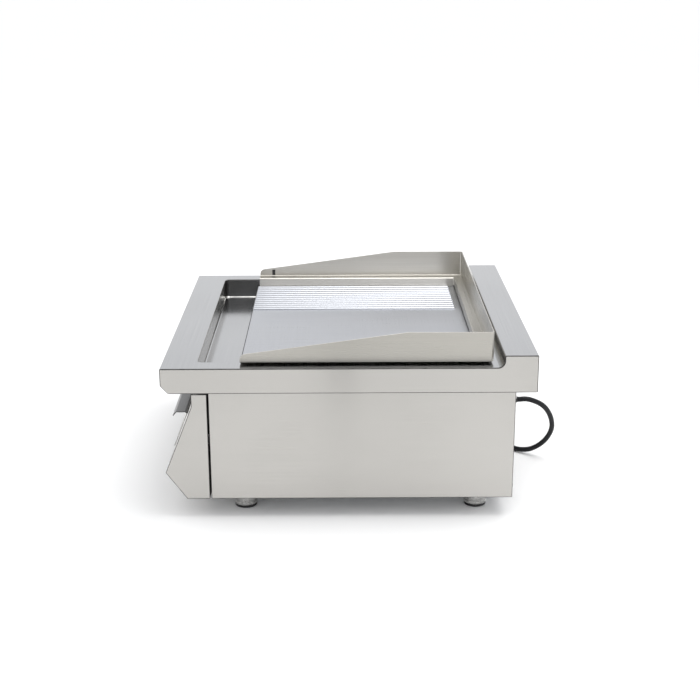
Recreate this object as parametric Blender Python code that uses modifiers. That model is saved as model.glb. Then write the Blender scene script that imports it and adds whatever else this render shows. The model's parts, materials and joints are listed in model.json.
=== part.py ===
"""Electric countertop griddle: stainless body, half-ribbed steel plate, lift-off splash guard,
sloped control console with two thermostats and a pull-out grease drawer, four adjustable feet.

Frame: +X is to the right of a cook standing in front, -Y is the front, +Z is up.
The origin is on the floor under the middle of the worktop. Every length is in metres.
"""

import math

import bmesh
import bpy
from mathutils import Matrix, Vector

# Overall sizes
WIDTH = 0.600
DEPTH = 0.600
TOP_HEIGHT = 0.2584
FOOT_HEIGHT = 0.0342
GAP = 0.0003

# Worktop
SHEET = 0.0015
SKIRT_HEIGHT = 0.0414
SKIRT_CHAMFER_DEPTH = 0.0117
SKIRT_CHAMFER_HEIGHT = 0.0126
DECK_DEPTH = 0.054
DECK_RISE = 0.0199
STEP_RADIUS = 0.011
SIDE_STRIP = 0.035
FRONT_STRIP = 0.057
STEP_TO_RECESS = 0.024
TROUGH_WIDTH = 0.065
TROUGH_DEPTH = 0.036
TROUGH_OVERHANG = 0.002
WINDOW_LEDGE = 0.020
WINDOW_FRONT_LEDGE = 0.0045
DRAIN_X = 0.172
DRAIN_RADIUS = 0.0105

# Griddle plate
PLATE_DROP = 0.0125
PLATE_THICKNESS = 0.015
PLATE_CLEARANCE = 0.003
RIB_COUNT = 12
RIB_PITCH = 0.0142
RIB_WIDTH = 0.0092
RIB_RISE = 0.003
RIB_START_MARGIN = 0.001
RIB_END_MARGIN = 0.011

# Splash guard
GUARD_INSET = 0.020
GUARD_LEDGE = 0.024
GUARD_REAR_LEDGE = 0.0175
GUARD_REAR_OVERHANG = 0.009
GUARD_LIFT = 0.0031
GUARD_HEIGHT = 0.0495
GUARD_FRONT_HEIGHT = 0.0135
GUARD_FRONT_SETBACK = 0.004
GUARD_LEVEL_LENGTH = 0.1375
GUARD_CORNER_RADIUS = 0.008
GUARD_REAR_LEG_GAP = 0.0025
GUARD_SLOT_SETBACK = 0.024
GUARD_SLOT_WIDTH = 0.006
GUARD_SLOT_HEIGHT = 0.011
GUARD_SLOT_LIFT = 0.001
GUARD_SLOT_DEPTH = 0.001

# Body panels
PANEL_SHEET = 0.0012
BODY_INSET = 0.004
REAR_OVERHANG = 0.034
PANEL_TUCK = 0.025
PANEL_FLANGE = 0.014
SEAM = 0.0025
VENT_COUNT = 9
VENT_PITCH = 0.014
VENT_WIDTH = 0.004
VENT_HEIGHT = 0.050
VENT_DROP = 0.070
VENT_STARTS = (-0.185, 0.150)
BASE_VENT_X = -0.062
BASE_VENT_Y = 0.020

# Control console
CONSOLE_DEPTH = 0.073
CONSOLE_TOP_SETBACK = 0.048
CONSOLE_TOP_GAP = 0.003
CONSOLE_SLOPE_TOP = 0.193
CONSOLE_TIP_HEIGHT = 0.080
CONSOLE_TIP_SETBACK = 0.0025
CONSOLE_TOE_SETBACK = 0.036

# Thermostats and lamps
KNOB_XS = {"left": -0.215, "right": -0.095}
KNOB_DROP = 0.042
KNOB_RADIUS = 0.0225
KNOB_HEIGHT = 0.019
KNOB_LIFT = 0.0020
KNOB_DISC_DROP = 0.006
GRIP_HALF_WIDTH = 0.0045
GRIP_END_MARGIN = 0.0045
SPINDLE_RADIUS = 0.003
SPINDLE_CLEARANCE = 0.0004
SPINDLE_HOLE_CLEARANCE = 0.0015
SPINDLE_INNER_LENGTH = 0.0115
SPINDLE_BORE_DEPTH = 0.013
DIAL_RADIUS = 0.031
DIAL_THICKNESS = 0.0008
THERMOSTAT_SIZE = 0.038
THERMOSTAT_DEPTH = 0.026
LAMP_OFFSET = 0.048
LAMP_DROPS = {"power": 0.030, "heating": 0.054}
LAMP_RADIUS = 0.006
LAMP_STEM_RADIUS = 0.0045
LAMP_STEM_LENGTH = 0.020

# Grease drawer
DRAWER_RIGHT = 0.190
DRAWER_WIDTH = 0.160
DRAWER_TOP_DROP = 0.0525
DRAWER_BOTTOM_DROP = 0.1170
DRAWER_OVERLAP = 0.004
DRAWER_LIP = 0.0185
DRAWER_LIP_FLANGE = 0.008
DRAWER_LENGTH = 0.215
DRAWER_SHEET = 0.0012
DRAWER_STANDOFF = 0.0010
DRAWER_TRAY_GAP = 0.0006
DRAWER_FLANGE_LEAN = (0.62, 0.78)
RAIL_SHELF = 0.008
RAIL_HEIGHT = 0.016
DRAWER_FLOOR_Z = 0.0885
DRAWER_RIM_Z = 0.1385
SPOUT_WALL = 0.0015
SPOUT_END_Z = 0.1440

# Heating
HEATER_RADIUS = 0.004
HEATER_PITCH = 0.040
HEATER_RUNS = 6
HEATER_FIRST_X = 0.020
HEATER_END_MARGIN = 0.025
HEATER_LEG_CLEARANCE = 0.002
SENSOR_SETBACK = 0.020
HEATER_LEG_RADIUS = 0.012
HEATER_LEG_END_Z = 0.178
CLAMP_THICKNESS = 0.003
CLAMP_WIDTH = 0.020
SHIELD_HEIGHT = 0.034
SHIELD_FLANGE = 0.008
INSULATION_TOP_GAP = 0.005
BULB_RADIUS = 0.003
BULB_LENGTH = 0.095
CAPILLARY_RADIUS = 0.001
CAPILLARY_DROP_Z = 0.180
CAPILLARY_OFFSET = 0.012

# Feet
FOOT_SIDE_INSET = 0.059
FOOT_FRONT_INSET = 0.127
FOOT_REAR_INSET = 0.089
FOOT_RADIUS = 0.019
FOOT_RING_RADIUS = 0.0187
FOOT_GROOVE_DEPTH = 0.0013
FOOT_GROOVE_TOP = 0.0112
FOOT_GROOVE_BOTTOM = 0.0096
PAD_RADIUS = 0.0183
PAD_HEIGHT = 0.004
FOOT_STUD_RADIUS = 0.005
FOOT_STUD_RISE = 0.020
BUSH_RADIUS = 0.010
BUSH_HEIGHT = 0.009

# Supply side
GLAND_X = 0.105
GLAND_Z = 0.135
GLAND_THREAD_RADIUS = 0.0100
GLAND_INNER_LENGTH = 0.012
GLAND_NOSE_LENGTH = 0.030
CORD_RADIUS = 0.0045
CORD_SPACING = 0.020
CORD_ROUTE = (
    (0.1050, 0.2964, 0.1350),
    (0.1050, 0.3165, 0.1350),
    (0.0985, 0.3420, 0.1215),
    (0.083, 0.3590, 0.0960),
    (0.066, 0.3655, 0.0650),
    (0.048, 0.3560, 0.0340),
    (0.031, 0.3350, 0.0120),
    (0.014, 0.3120, 0.0050),
    (-0.012, 0.2995, 0.0047),
    (-0.060, 0.2970, 0.0047),
    (-0.130, 0.3030, 0.0047),
    (-0.200, 0.3170, 0.0047),
    (-0.258, 0.3360, 0.0050),
    (-0.292, 0.3460, 0.0055),
    (-0.3105, 0.3495, 0.0058),
)
COIL_CENTRE = (-0.350, 0.300)
COIL_RADIUS = 0.0495
COIL_HALF_WIDTH = 0.0095
COIL_BASE = 0.0013
COIL_HEIGHT = 0.018
COIL_SOFTENING = 0.0035
TIE_THICKNESS = 0.0008
TIE_WIDTH = 0.008
TIE_CLEARANCE = 0.0005
PLUG_RADIUS = 0.018
PLUG_LENGTH = 0.046
PIN_RADIUS = 0.0024
PIN_LENGTH = 0.019
PIN_ROOT = 0.004
PIN_SPACING = 0.019
LIMITER_X = -0.150
LIMITER_Z = 0.110
LIMITER_BOX = (0.040, 0.030, 0.034)
BUTTON_RADIUS = 0.004
BUTTON_PROUD = 0.0045
BUTTON_TRAVEL = 0.003
BUTTON_REACH = 0.009
EARTH_STUD_X = -0.235
EARTH_STUD_Z = 0.062
EARTH_STUD_RADIUS = 0.003
TERMINAL_BOX = (0.066, 0.030, 0.024)
TERMINAL_X = 0.040
TERMINAL_SETBACK = 0.020
TERMINAL_POLES = 5
TERMINAL_PITCH = 0.012
LEAD_BEND = 0.014
SCREW_RADIUS = 0.002
SCREW_MARGIN = 0.014

# Heights and places that follow
HALF_W = WIDTH / 2
HALF_D = DEPTH / 2
SKIRT_Z = TOP_HEIGHT - SKIRT_HEIGHT
DECK_Z = TOP_HEIGHT + DECK_RISE
DECK_Y = HALF_D - DECK_DEPTH
RECESS_X = HALF_W - SIDE_STRIP
RECESS_FRONT = -HALF_D + FRONT_STRIP
RECESS_REAR = DECK_Y - STEP_TO_RECESS
TROUGH_FLOOR = TOP_HEIGHT - TROUGH_DEPTH
PLATE_X = RECESS_X - PLATE_CLEARANCE
PLATE_FRONT = RECESS_FRONT + TROUGH_WIDTH
PLATE_REAR = RECESS_REAR - PLATE_CLEARANCE
PLATE_TOP = TOP_HEIGHT - PLATE_DROP
PLATE_BOTTOM = PLATE_TOP - PLATE_THICKNESS
TROUGH_REAR = PLATE_FRONT + TROUGH_OVERHANG
LEDGE_TOP = PLATE_BOTTOM - GAP
LEDGE_BOTTOM = LEDGE_TOP - SHEET
WINDOW_X = RECESS_X - WINDOW_LEDGE
WINDOW_FRONT = TROUGH_REAR + SHEET + WINDOW_FRONT_LEDGE
WINDOW_REAR = RECESS_REAR - WINDOW_LEDGE
DRAIN_Y = (RECESS_FRONT + TROUGH_REAR) / 2
GUARD_X = HALF_W - GUARD_INSET
GUARD_INNER_X = GUARD_X - GUARD_LEDGE
GUARD_INNER_Y = RECESS_REAR - GUARD_REAR_OVERHANG
GUARD_REAR = GUARD_INNER_Y + GUARD_REAR_LEDGE
GUARD_FRONT = PLATE_FRONT + GUARD_FRONT_SETBACK
GUARD_BASE = TOP_HEIGHT + GUARD_LIFT
GUARD_TOP = GUARD_BASE + GUARD_HEIGHT
BODY_X = HALF_W - BODY_INSET
BODY_REAR = HALF_D - REAR_OVERHANG
PANEL_TOP = SKIRT_Z + PANEL_TUCK
SEAM_Y = -HALF_D + CONSOLE_DEPTH
FLOOR_PLATE_Z = FOOT_HEIGHT + PANEL_SHEET + GAP
CONSOLE_TOP_Z = SKIRT_Z - CONSOLE_TOP_GAP
SLOPE_TOP = Vector((0, -HALF_D + CONSOLE_TOP_SETBACK, CONSOLE_SLOPE_TOP))
SLOPE_TIP = Vector((0, -HALF_D + CONSOLE_TIP_SETBACK, CONSOLE_TIP_HEIGHT))
SLOPE_UP = (SLOPE_TOP - SLOPE_TIP).normalized()
SLOPE_OUT = Vector((0, -SLOPE_UP.z, SLOPE_UP.y))
DRAWER_LEFT = DRAWER_RIGHT - DRAWER_WIDTH
HEATER_Z = PLATE_BOTTOM - GAP - HEATER_RADIUS
CLAMP_TOP = HEATER_Z - HEATER_RADIUS - GAP
SHIELD_TOP = LEDGE_BOTTOM - GAP
SHIELD_BOTTOM = SHIELD_TOP - SHIELD_HEIGHT
HEATER_FRONT = WINDOW_FRONT + HEATER_END_MARGIN
HEATER_REAR = WINDOW_REAR - HEATER_END_MARGIN
FOOT_XS = {"left": -HALF_W + FOOT_SIDE_INSET, "right": HALF_W - FOOT_SIDE_INSET}
FOOT_YS = {"front": -HALF_D + FOOT_FRONT_INSET, "rear": HALF_D - FOOT_REAR_INSET}

# Colour, roughness and metallic value of each finish
FINISHES = {
    "brushed_steel": ((0.60, 0.60, 0.59), 0.34, 1.0),
    "guard_steel": ((0.55, 0.54, 0.51), 0.30, 1.0),
    "plate_steel": ((0.62, 0.63, 0.65), 0.36, 1.0),
    "galvanised": ((0.50, 0.51, 0.52), 0.45, 1.0),
    "heater_sheath": ((0.16, 0.15, 0.14), 0.50, 1.0),
    "copper": ((0.80, 0.45, 0.28), 0.35, 1.0),
    "brass": ((0.75, 0.58, 0.28), 0.35, 1.0),
    "black_plastic": ((0.025, 0.025, 0.027), 0.40, 0.0),
    "white_ceramic": ((0.80, 0.78, 0.72), 0.60, 0.0),
    "mineral_wool": ((0.62, 0.60, 0.52), 0.95, 0.0),
    "black_rubber": ((0.018, 0.018, 0.018), 0.55, 0.0),
    "green_lens": ((0.05, 0.55, 0.15), 0.20, 0.0),
    "amber_lens": ((0.85, 0.35, 0.03), 0.20, 0.0),
    "red_plastic": ((0.65, 0.03, 0.02), 0.35, 0.0),
    "dial_print": ((0.70, 0.70, 0.70), 0.35, 0.6),
}

# Turns a flat outline's (x, y) into the vertical plane's (Y, Z), extruded along X
SIDEWAYS = Matrix(((0, 0, 1, 0), (1, 0, 0, 0), (0, 1, 0, 0), (0, 0, 0, 1)))


def clear_scene():
    """Remove whatever the scene holds and make the two collections."""
    for obj in list(bpy.data.objects):
        bpy.data.objects.remove(obj)
    for name in ("electric_griddle", "cutters"):
        bpy.context.scene.collection.children.link(bpy.data.collections.new(name))


def material(name):
    """The named finish as a Principled material, made once."""
    if name in bpy.data.materials:
        return bpy.data.materials[name]
    colour, roughness, metallic = FINISHES[name]
    made = bpy.data.materials.new(name)
    made.use_nodes = True
    shader = made.node_tree.nodes["Principled BSDF"]
    shader.inputs["Base Color"].default_value = (*colour, 1)
    shader.inputs["Roughness"].default_value = roughness
    shader.inputs["Metallic"].default_value = metallic
    return made


def part(name, mesh, finish, frame=None):
    """Put a mesh in the scene as one named sub-part with its own finish."""
    obj = bpy.data.objects.new(name, mesh)
    obj.matrix_world = frame or Matrix()
    mesh.materials.clear()
    mesh.materials.append(material(finish))
    bpy.data.collections["electric_griddle"].objects.link(obj)
    return obj


def helper(mesh, frame=None):
    """Put a mesh in the scene as a cutter or a shape to join, left out of the model."""
    obj = bpy.data.objects.new("helper_" + mesh.name, mesh)
    obj.matrix_world = frame or Matrix()
    obj.hide_render = True
    obj.display_type = "WIRE"
    bpy.data.collections["cutters"].objects.link(obj)
    return obj


def boolean(obj, mesh, operation, frame=None):
    """Add one exact Boolean of the mesh to the object."""
    modifier = obj.modifiers.new(operation.lower(), "BOOLEAN")
    modifier.operation = operation
    modifier.solver = "EXACT"
    modifier.object = helper(mesh, frame)


def cut(obj, mesh, frame=None):
    """Take the mesh away from the object."""
    boolean(obj, mesh, "DIFFERENCE", frame)


def join(obj, mesh, frame=None):
    """Make the mesh one body with the object."""
    boolean(obj, mesh, "UNION", frame)


def boxes(name, *corners):
    """A mesh of boxes, each from a low and a high corner."""
    made = bmesh.new()
    for low, high in corners:
        low, high = Vector(low), Vector(high)
        place = Matrix.Translation((low + high) / 2) @ Matrix.Diagonal((*(high - low), 1))
        bmesh.ops.create_cube(made, size=1, matrix=place)
    return mesh_of(name, made)


def rods(name, radius, depth, frames, segments=24):
    """A mesh of cylinders, each centred in its frame and running along that frame's Z."""
    made = bmesh.new()
    for frame in frames:
        bmesh.ops.create_cone(
            made,
            cap_ends=True,
            segments=segments,
            radius1=radius,
            radius2=radius,
            depth=depth,
            matrix=frame,
        )
    return mesh_of(name, made)


def mesh_of(name, made):
    """The bmesh as a mesh, with its doubles merged and its faces pointing out."""
    bmesh.ops.remove_doubles(made, verts=made.verts, dist=1e-6)
    bmesh.ops.recalc_face_normals(made, faces=made.faces)
    mesh = bpy.data.meshes.new(name)
    made.to_mesh(mesh)
    made.free()
    return mesh


def mesh_of_curve(name, curve, frame):
    """A curve object as a mesh in world space with its caps welded; the curve is removed."""
    obj = bpy.data.objects.new(name, curve)
    obj.matrix_world = frame
    bpy.context.scene.collection.objects.link(obj)
    bpy.context.view_layer.update()
    graph = bpy.context.evaluated_depsgraph_get()
    mesh = bpy.data.meshes.new_from_object(obj.evaluated_get(graph))
    made = bmesh.new()
    made.from_mesh(mesh)
    made.transform(frame)
    bpy.data.objects.remove(obj)
    bpy.data.meshes.remove(mesh)
    return mesh_of(name, made)


def prism(name, outline, low, high):
    """A (Y, Z) outline extruded along X from low to high."""
    curve = bpy.data.curves.new(name, "CURVE")
    curve.dimensions = "2D"
    curve.fill_mode = "BOTH"
    curve.extrude = (high - low) / 2
    spline = curve.splines.new("POLY")
    spline.points.add(len(outline) - 1)
    for point, (y, z) in zip(spline.points, outline):
        point.co = (y, z, 0, 1)
    spline.use_cyclic_u = True
    frame = Matrix.Translation(((low + high) / 2, 0, 0)) @ SIDEWAYS
    return mesh_of_curve(name, curve, frame)


def inset(outline, distance):
    """The closed outline moved inwards by the distance; it runs anticlockwise."""
    moved = []
    count = len(outline)
    for index in range(count):
        before = Vector(outline[index - 1])
        here = Vector(outline[index])
        after = Vector(outline[(index + 1) % count])
        first = (here - before).normalized()
        second = (after - here).normalized()
        first_in = Vector((-first.y, first.x))
        second_in = Vector((-second.y, second.x))
        corner = first_in + second_in
        moved.append(here + corner * distance / (1 + first_in.dot(second_in)))
    return [tuple(point) for point in moved]


def arc(centre, radius, start, end, steps):
    """Points of an arc in a plane, its angles in degrees."""
    angles = [math.radians(start + (end - start) * step / steps) for step in range(steps + 1)]
    return [(centre[0] + radius * math.cos(a), centre[1] + radius * math.sin(a)) for a in angles]


def turned(name, profile, finish, frame=None, steps=32, closed=False):
    """A turned piece: the profile of (radius, height) points runs down its outer side."""
    made = bmesh.new()
    points = [made.verts.new((radius, 0, height)) for radius, height in profile]
    for first, second in zip(points, points[1:]):
        made.edges.new((first, second))
    if closed:
        made.edges.new((points[-1], points[0]))
    mesh = bpy.data.meshes.new(name)
    made.to_mesh(mesh)
    made.free()
    obj = part(name, mesh, finish, frame)
    screw = obj.modifiers.new("turn", "SCREW")
    screw.steps = steps
    screw.render_steps = steps
    screw.use_merge_vertices = True
    screw.merge_threshold = 0.00005
    screw.use_smooth_shade = False
    return obj


def tube(name, points, radius, finish, resolution=2, widths=None):
    """A round tube along the points; widths scale its radius point by point."""
    curve = bpy.data.curves.new(name, "CURVE")
    curve.dimensions = "3D"
    curve.bevel_depth = radius
    curve.bevel_resolution = resolution
    curve.use_fill_caps = True
    spline = curve.splines.new("POLY")
    spline.points.add(len(points) - 1)
    for index, (point, place) in enumerate(zip(spline.points, points)):
        point.co = (*place, 1)
        point.radius = widths[index] if widths else 1
    obj = bpy.data.objects.new(name, curve)
    curve.materials.append(material(finish))
    bpy.data.collections["electric_griddle"].objects.link(obj)
    return obj


def bent(corners, radius, steps=3):
    """A path through the corners with each inner corner rounded to the radius."""
    points = [Vector(corners[0])]
    for before, here, after in zip(corners, corners[1:], corners[2:]):
        before, here, after = Vector(before), Vector(here), Vector(after)
        back = (before - here).normalized()
        ahead = (after - here).normalized()
        half = back.angle(ahead) / 2
        reach = radius / math.tan(half)
        centre = here + (back + ahead).normalized() * radius / math.sin(half)
        start = (here + back * reach - centre).normalized()
        end = (here + ahead * reach - centre).normalized()
        for step in range(steps + 1):
            points.append(centre + start.slerp(end, step / steps) * radius)
    points.append(Vector(corners[-1]))
    return points


def smooth_path(route, spacing):
    """Points at about the spacing along a smooth curve through the route's points."""
    route = [Vector(point) for point in route]
    ends = [2 * route[0] - route[1]] + route + [2 * route[-1] - route[-2]]
    fine = []
    for before, first, second, after in zip(ends, ends[1:], ends[2:], ends[3:]):
        for step in range(16):
            t = step / 16
            bend = 2 * before - 5 * first + 4 * second - after
            twist = 3 * first - 3 * second + after - before
            fine.append(first + ((second - before) * t + bend * t * t + twist * t**3) / 2)
    fine.append(route[-1])
    lengths = [0.0]
    for first, second in zip(fine, fine[1:]):
        lengths.append(lengths[-1] + (second - first).length)
    count = round(lengths[-1] / spacing)
    picked = []
    for index in range(count + 1):
        goal = lengths[-1] * index / count
        segment = max(1, next(i for i, length in enumerate(lengths) if length >= goal - 1e-9))
        share = (goal - lengths[segment - 1]) / (lengths[segment] - lengths[segment - 1])
        picked.append(fine[segment - 1].lerp(fine[segment], share))
    return picked


def on_console(x, drop):
    """Frame on the console's sloped face, its Z out of the face and its Y up the slope."""
    place = SLOPE_TOP - SLOPE_UP * drop
    place.x = x
    turn = Matrix((Vector((1, 0, 0)), SLOPE_UP, SLOPE_OUT)).transposed()
    return Matrix.Translation(place) @ turn.to_4x4()


def facing(place, direction):
    """Frame at the place with its Z along the direction."""
    turn = Vector(direction).to_track_quat("Z", "Y").to_matrix()
    return Matrix.Translation(place) @ turn.to_4x4()


def shade_round(obj):
    """Smooth shading on a round mesh piece, with its real edges kept sharp."""
    obj.data.shade_smooth()
    obj.data.set_sharp_from_angle(angle=math.radians(35))


def worktop_outline(below):
    """Side outline of the worktop; its open underside is carried down by `below`."""
    slope = SKIRT_CHAMFER_DEPTH / SKIRT_CHAMFER_HEIGHT
    centre = (DECK_Y - STEP_RADIUS, TOP_HEIGHT + STEP_RADIUS)
    return [
        (-HALF_D + SKIRT_CHAMFER_DEPTH + slope * below, SKIRT_Z - below),
        (HALF_D, SKIRT_Z - below),
        (HALF_D, DECK_Z),
        (DECK_Y, DECK_Z),
        *reversed(arc(centre, STEP_RADIUS, -90, 0, 6)),
        (-HALF_D, TOP_HEIGHT),
        (-HALF_D, SKIRT_Z + SKIRT_CHAMFER_HEIGHT),
    ]


def make_worktop():
    """Pressed worktop: skirt, raised rear deck, plate recess, front grease trough and drain."""
    top = part("worktop", prism("worktop", worktop_outline(0), -HALF_W, HALF_W), "brushed_steel")
    hollow = inset(worktop_outline(0.010), SHEET)
    cut(top, prism("worktop_hollow", hollow, -HALF_W + SHEET, HALF_W - SHEET))
    rim = TOP_HEIGHT - SHEET / 2
    pan = (
        (-RECESS_X - SHEET, RECESS_FRONT - SHEET, LEDGE_BOTTOM),
        (RECESS_X + SHEET, RECESS_REAR + SHEET, rim),
    )
    trough = (
        (-RECESS_X - SHEET, RECESS_FRONT - SHEET, TROUGH_FLOOR - SHEET),
        (RECESS_X + SHEET, TROUGH_REAR + SHEET, rim),
    )
    join(top, boxes("pan", pan))
    join(top, boxes("trough_pan", trough))
    above = TOP_HEIGHT + 0.01
    recess = ((-RECESS_X, RECESS_FRONT, LEDGE_TOP), (RECESS_X, RECESS_REAR, above))
    gutter = ((-RECESS_X, RECESS_FRONT, TROUGH_FLOOR), (RECESS_X, TROUGH_REAR, above))
    cut(top, boxes("recess", recess))
    cut(top, boxes("gutter", gutter))
    window = ((-WINDOW_X, WINDOW_FRONT, SKIRT_Z), (WINDOW_X, WINDOW_REAR, above))
    cut(top, boxes("window", window))
    drain = Matrix.Translation((DRAIN_X, DRAIN_Y, TROUGH_FLOOR))
    cut(top, rods("drain", DRAIN_RADIUS, 0.02, [drain]))


def rib_outline(centre):
    """Cross-section of one rib in (X, Z), rounded on top and sunk into the plate."""
    half = RIB_WIDTH / 2
    crown = [(centre + half * math.cos(math.pi * s / 6), math.sin(math.pi * s / 6)) for s in range(7)]
    top = [(x, PLATE_TOP + RIB_RISE * height) for x, height in crown]
    return [(centre - half, PLATE_TOP - 0.001), (centre + half, PLATE_TOP - 0.001), *top]


def make_plate():
    """Steel griddle plate, ribbed on its left third and smooth on the rest."""
    low = (-PLATE_X, PLATE_FRONT, PLATE_BOTTOM)
    slab = boxes("griddle_plate", (low, (PLATE_X, PLATE_REAR, PLATE_TOP)))
    plate = part("griddle_plate", slab, "plate_steel")
    start = PLATE_FRONT + RIB_START_MARGIN
    end = GUARD_INNER_Y - RIB_END_MARGIN
    ribs = bmesh.new()
    for index in range(RIB_COUNT):
        centre = -GUARD_INNER_X + RIB_PITCH * (index + 0.5)
        points = [ribs.verts.new((x, start, z)) for x, z in rib_outline(centre)]
        face = ribs.faces.new(points)
        moved = bmesh.ops.extrude_face_region(ribs, geom=[face])["geom"]
        corners = [item for item in moved if isinstance(item, bmesh.types.BMVert)]
        bmesh.ops.translate(ribs, verts=corners, vec=(0, end - start, 0))
    join(plate, mesh_of("ribs", ribs))


def guard_outline():
    """Side outline of the splash guard: rounded nose, sloped front part, level rear part."""
    nose = GUARD_BASE + GUARD_FRONT_HEIGHT
    knee = GUARD_REAR - GUARD_LEVEL_LENGTH
    radius = GUARD_CORNER_RADIUS
    return [
        (GUARD_FRONT, PLATE_TOP),
        (GUARD_REAR, PLATE_TOP),
        (GUARD_REAR, GUARD_TOP),
        (knee, GUARD_TOP),
        *arc((GUARD_FRONT + radius, nose - radius), radius, 98, 180, 5),
    ]


def make_guard():
    """Three-sided splash guard: upright wall, ledge, and a lower leg that hooks into the recess."""
    leg = PLATE_TOP + GAP
    early = GUARD_FRONT - 0.005
    wall = ((-GUARD_X, early, GUARD_BASE), (GUARD_X, GUARD_REAR, GUARD_TOP + 0.005))
    guard = part("splash_guard", boxes("splash_guard", wall), "guard_steel")
    inside = (
        (-GUARD_X + SHEET, early - 0.01, GUARD_BASE + SHEET),
        (GUARD_X - SHEET, GUARD_REAR - SHEET, GUARD_TOP + 0.02),
    )
    cut(guard, boxes("guard_inside", inside))
    legs = (
        (-GUARD_INNER_X - SHEET, early, leg),
        (GUARD_INNER_X + SHEET, GUARD_INNER_Y + SHEET, GUARD_BASE + SHEET / 2),
    )
    join(guard, boxes("guard_legs", legs))
    middle = (
        (-GUARD_INNER_X, early - 0.01, leg - 0.01),
        (GUARD_INNER_X, GUARD_INNER_Y, GUARD_TOP),
    )
    cut(guard, boxes("guard_middle", middle))
    rear_gap = (
        (-GUARD_INNER_X - 0.0002, GUARD_INNER_Y - 0.005, leg - 0.01),
        (GUARD_INNER_X + 0.0002, GUARD_INNER_Y + 0.01, PLATE_TOP + GUARD_REAR_LEG_GAP),
    )
    cut(guard, boxes("guard_rear_gap", rear_gap))
    boolean(guard, prism("guard_side", guard_outline(), -HALF_W, HALF_W), "INTERSECT")
    slot_front = GUARD_FRONT + GUARD_SLOT_SETBACK
    slot_base = GUARD_BASE + SHEET + GUARD_SLOT_LIFT
    slot_reach = GUARD_X - SHEET + GUARD_SLOT_DEPTH
    slot = (
        (-slot_reach, slot_front, slot_base),
        (slot_reach, slot_front + GUARD_SLOT_WIDTH, slot_base + GUARD_SLOT_HEIGHT),
    )
    cut(guard, boxes("guard_slots", slot))


def make_side_panels():
    """Two folded side panels, tucked up inside the worktop's skirt."""
    front = SEAM_Y + SEAM
    for side, sign in (("left", -1), ("right", 1)):
        outer, inner = sign * BODY_X, sign * (BODY_X - PANEL_SHEET)
        fold = sign * (BODY_X - PANEL_FLANGE)
        web = ((min(outer, inner), front, FOOT_HEIGHT), (max(outer, inner), BODY_REAR, PANEL_TOP))
        low, high = min(outer, fold), max(outer, fold)
        foot = ((low, front, FOOT_HEIGHT), (high, BODY_REAR, FOOT_HEIGHT + PANEL_SHEET))
        edge = ((low, front, FOOT_HEIGHT), (high, front + PANEL_SHEET, PANEL_TOP))
        name = side + "_side_panel"
        panel = part(name, boxes(name, web), "brushed_steel")
        join(panel, boxes(name + "_foot_fold", foot))
        join(panel, boxes(name + "_front_fold", edge))


def vent_boxes(first_x, low, high):
    """Upright vent slots side by side, each through the plane between low and high."""
    return [
        ((first_x + VENT_PITCH * index, *low), (first_x + VENT_PITCH * index + VENT_WIDTH, *high))
        for index in range(VENT_COUNT)
    ]


def make_rear_panel():
    """Rear panel with two groups of vents and the holes for gland, earth stud, reset and screws."""
    side = BODY_X - PANEL_SHEET - GAP
    low = (-side, BODY_REAR - PANEL_SHEET, FLOOR_PLATE_Z)
    panel = part("rear_panel", boxes("rear_panel", (low, (side, BODY_REAR, PANEL_TOP))), "brushed_steel")
    vents_z = SKIRT_Z - VENT_DROP
    front, back = (BODY_REAR - 0.01, vents_z), (BODY_REAR + 0.01, vents_z + VENT_HEIGHT)
    for first_x in VENT_STARTS:
        cut(panel, boxes("vents", *vent_boxes(first_x, front, back)))
    along = (0, 1, 0)
    holes = (
        (GLAND_THREAD_RADIUS + GAP, GLAND_X, GLAND_Z),
        (BUTTON_RADIUS + GAP, LIMITER_X, LIMITER_Z),
        (EARTH_STUD_RADIUS + GAP, EARTH_STUD_X, EARTH_STUD_Z),
    )
    for radius, x, z in holes:
        cut(panel, rods("hole", radius, 0.02, [facing((x, BODY_REAR, z), along)]))
    screws = [facing((x, BODY_REAR, z), along) for x, z in screw_places()]
    cut(panel, rods("screw_holes", SCREW_RADIUS + GAP, 0.02, screws, 12))


def screw_places():
    """(X, Z) of the rear panel's four screws."""
    x = BODY_X - SCREW_MARGIN
    low, high = FLOOR_PLATE_Z + SCREW_MARGIN, SKIRT_Z - SCREW_MARGIN
    return [(-x, low), (x, low), (-x, high), (x, high)]


def make_rear_screws():
    """Four domed screws of the rear panel."""
    head = SCREW_RADIUS * 2
    profile = [
        (0, 0.0026),
        (head * 0.6, 0.0022),
        (head, 0.0008),
        (head, GAP),
        (SCREW_RADIUS, GAP),
        (SCREW_RADIUS, -0.008),
        (0, -0.008),
    ]
    for index, (x, z) in enumerate(screw_places(), start=1):
        frame = facing((x, BODY_REAR, z), (0, 1, 0))
        turned(f"rear_screw_{index}", profile, "galvanised", frame, 12)


def foot_places():
    """Name and floor point of each foot."""
    return [
        (f"{end}_{side}", Vector((x, y, 0)))
        for end, y in FOOT_YS.items()
        for side, x in FOOT_XS.items()
    ]


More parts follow.
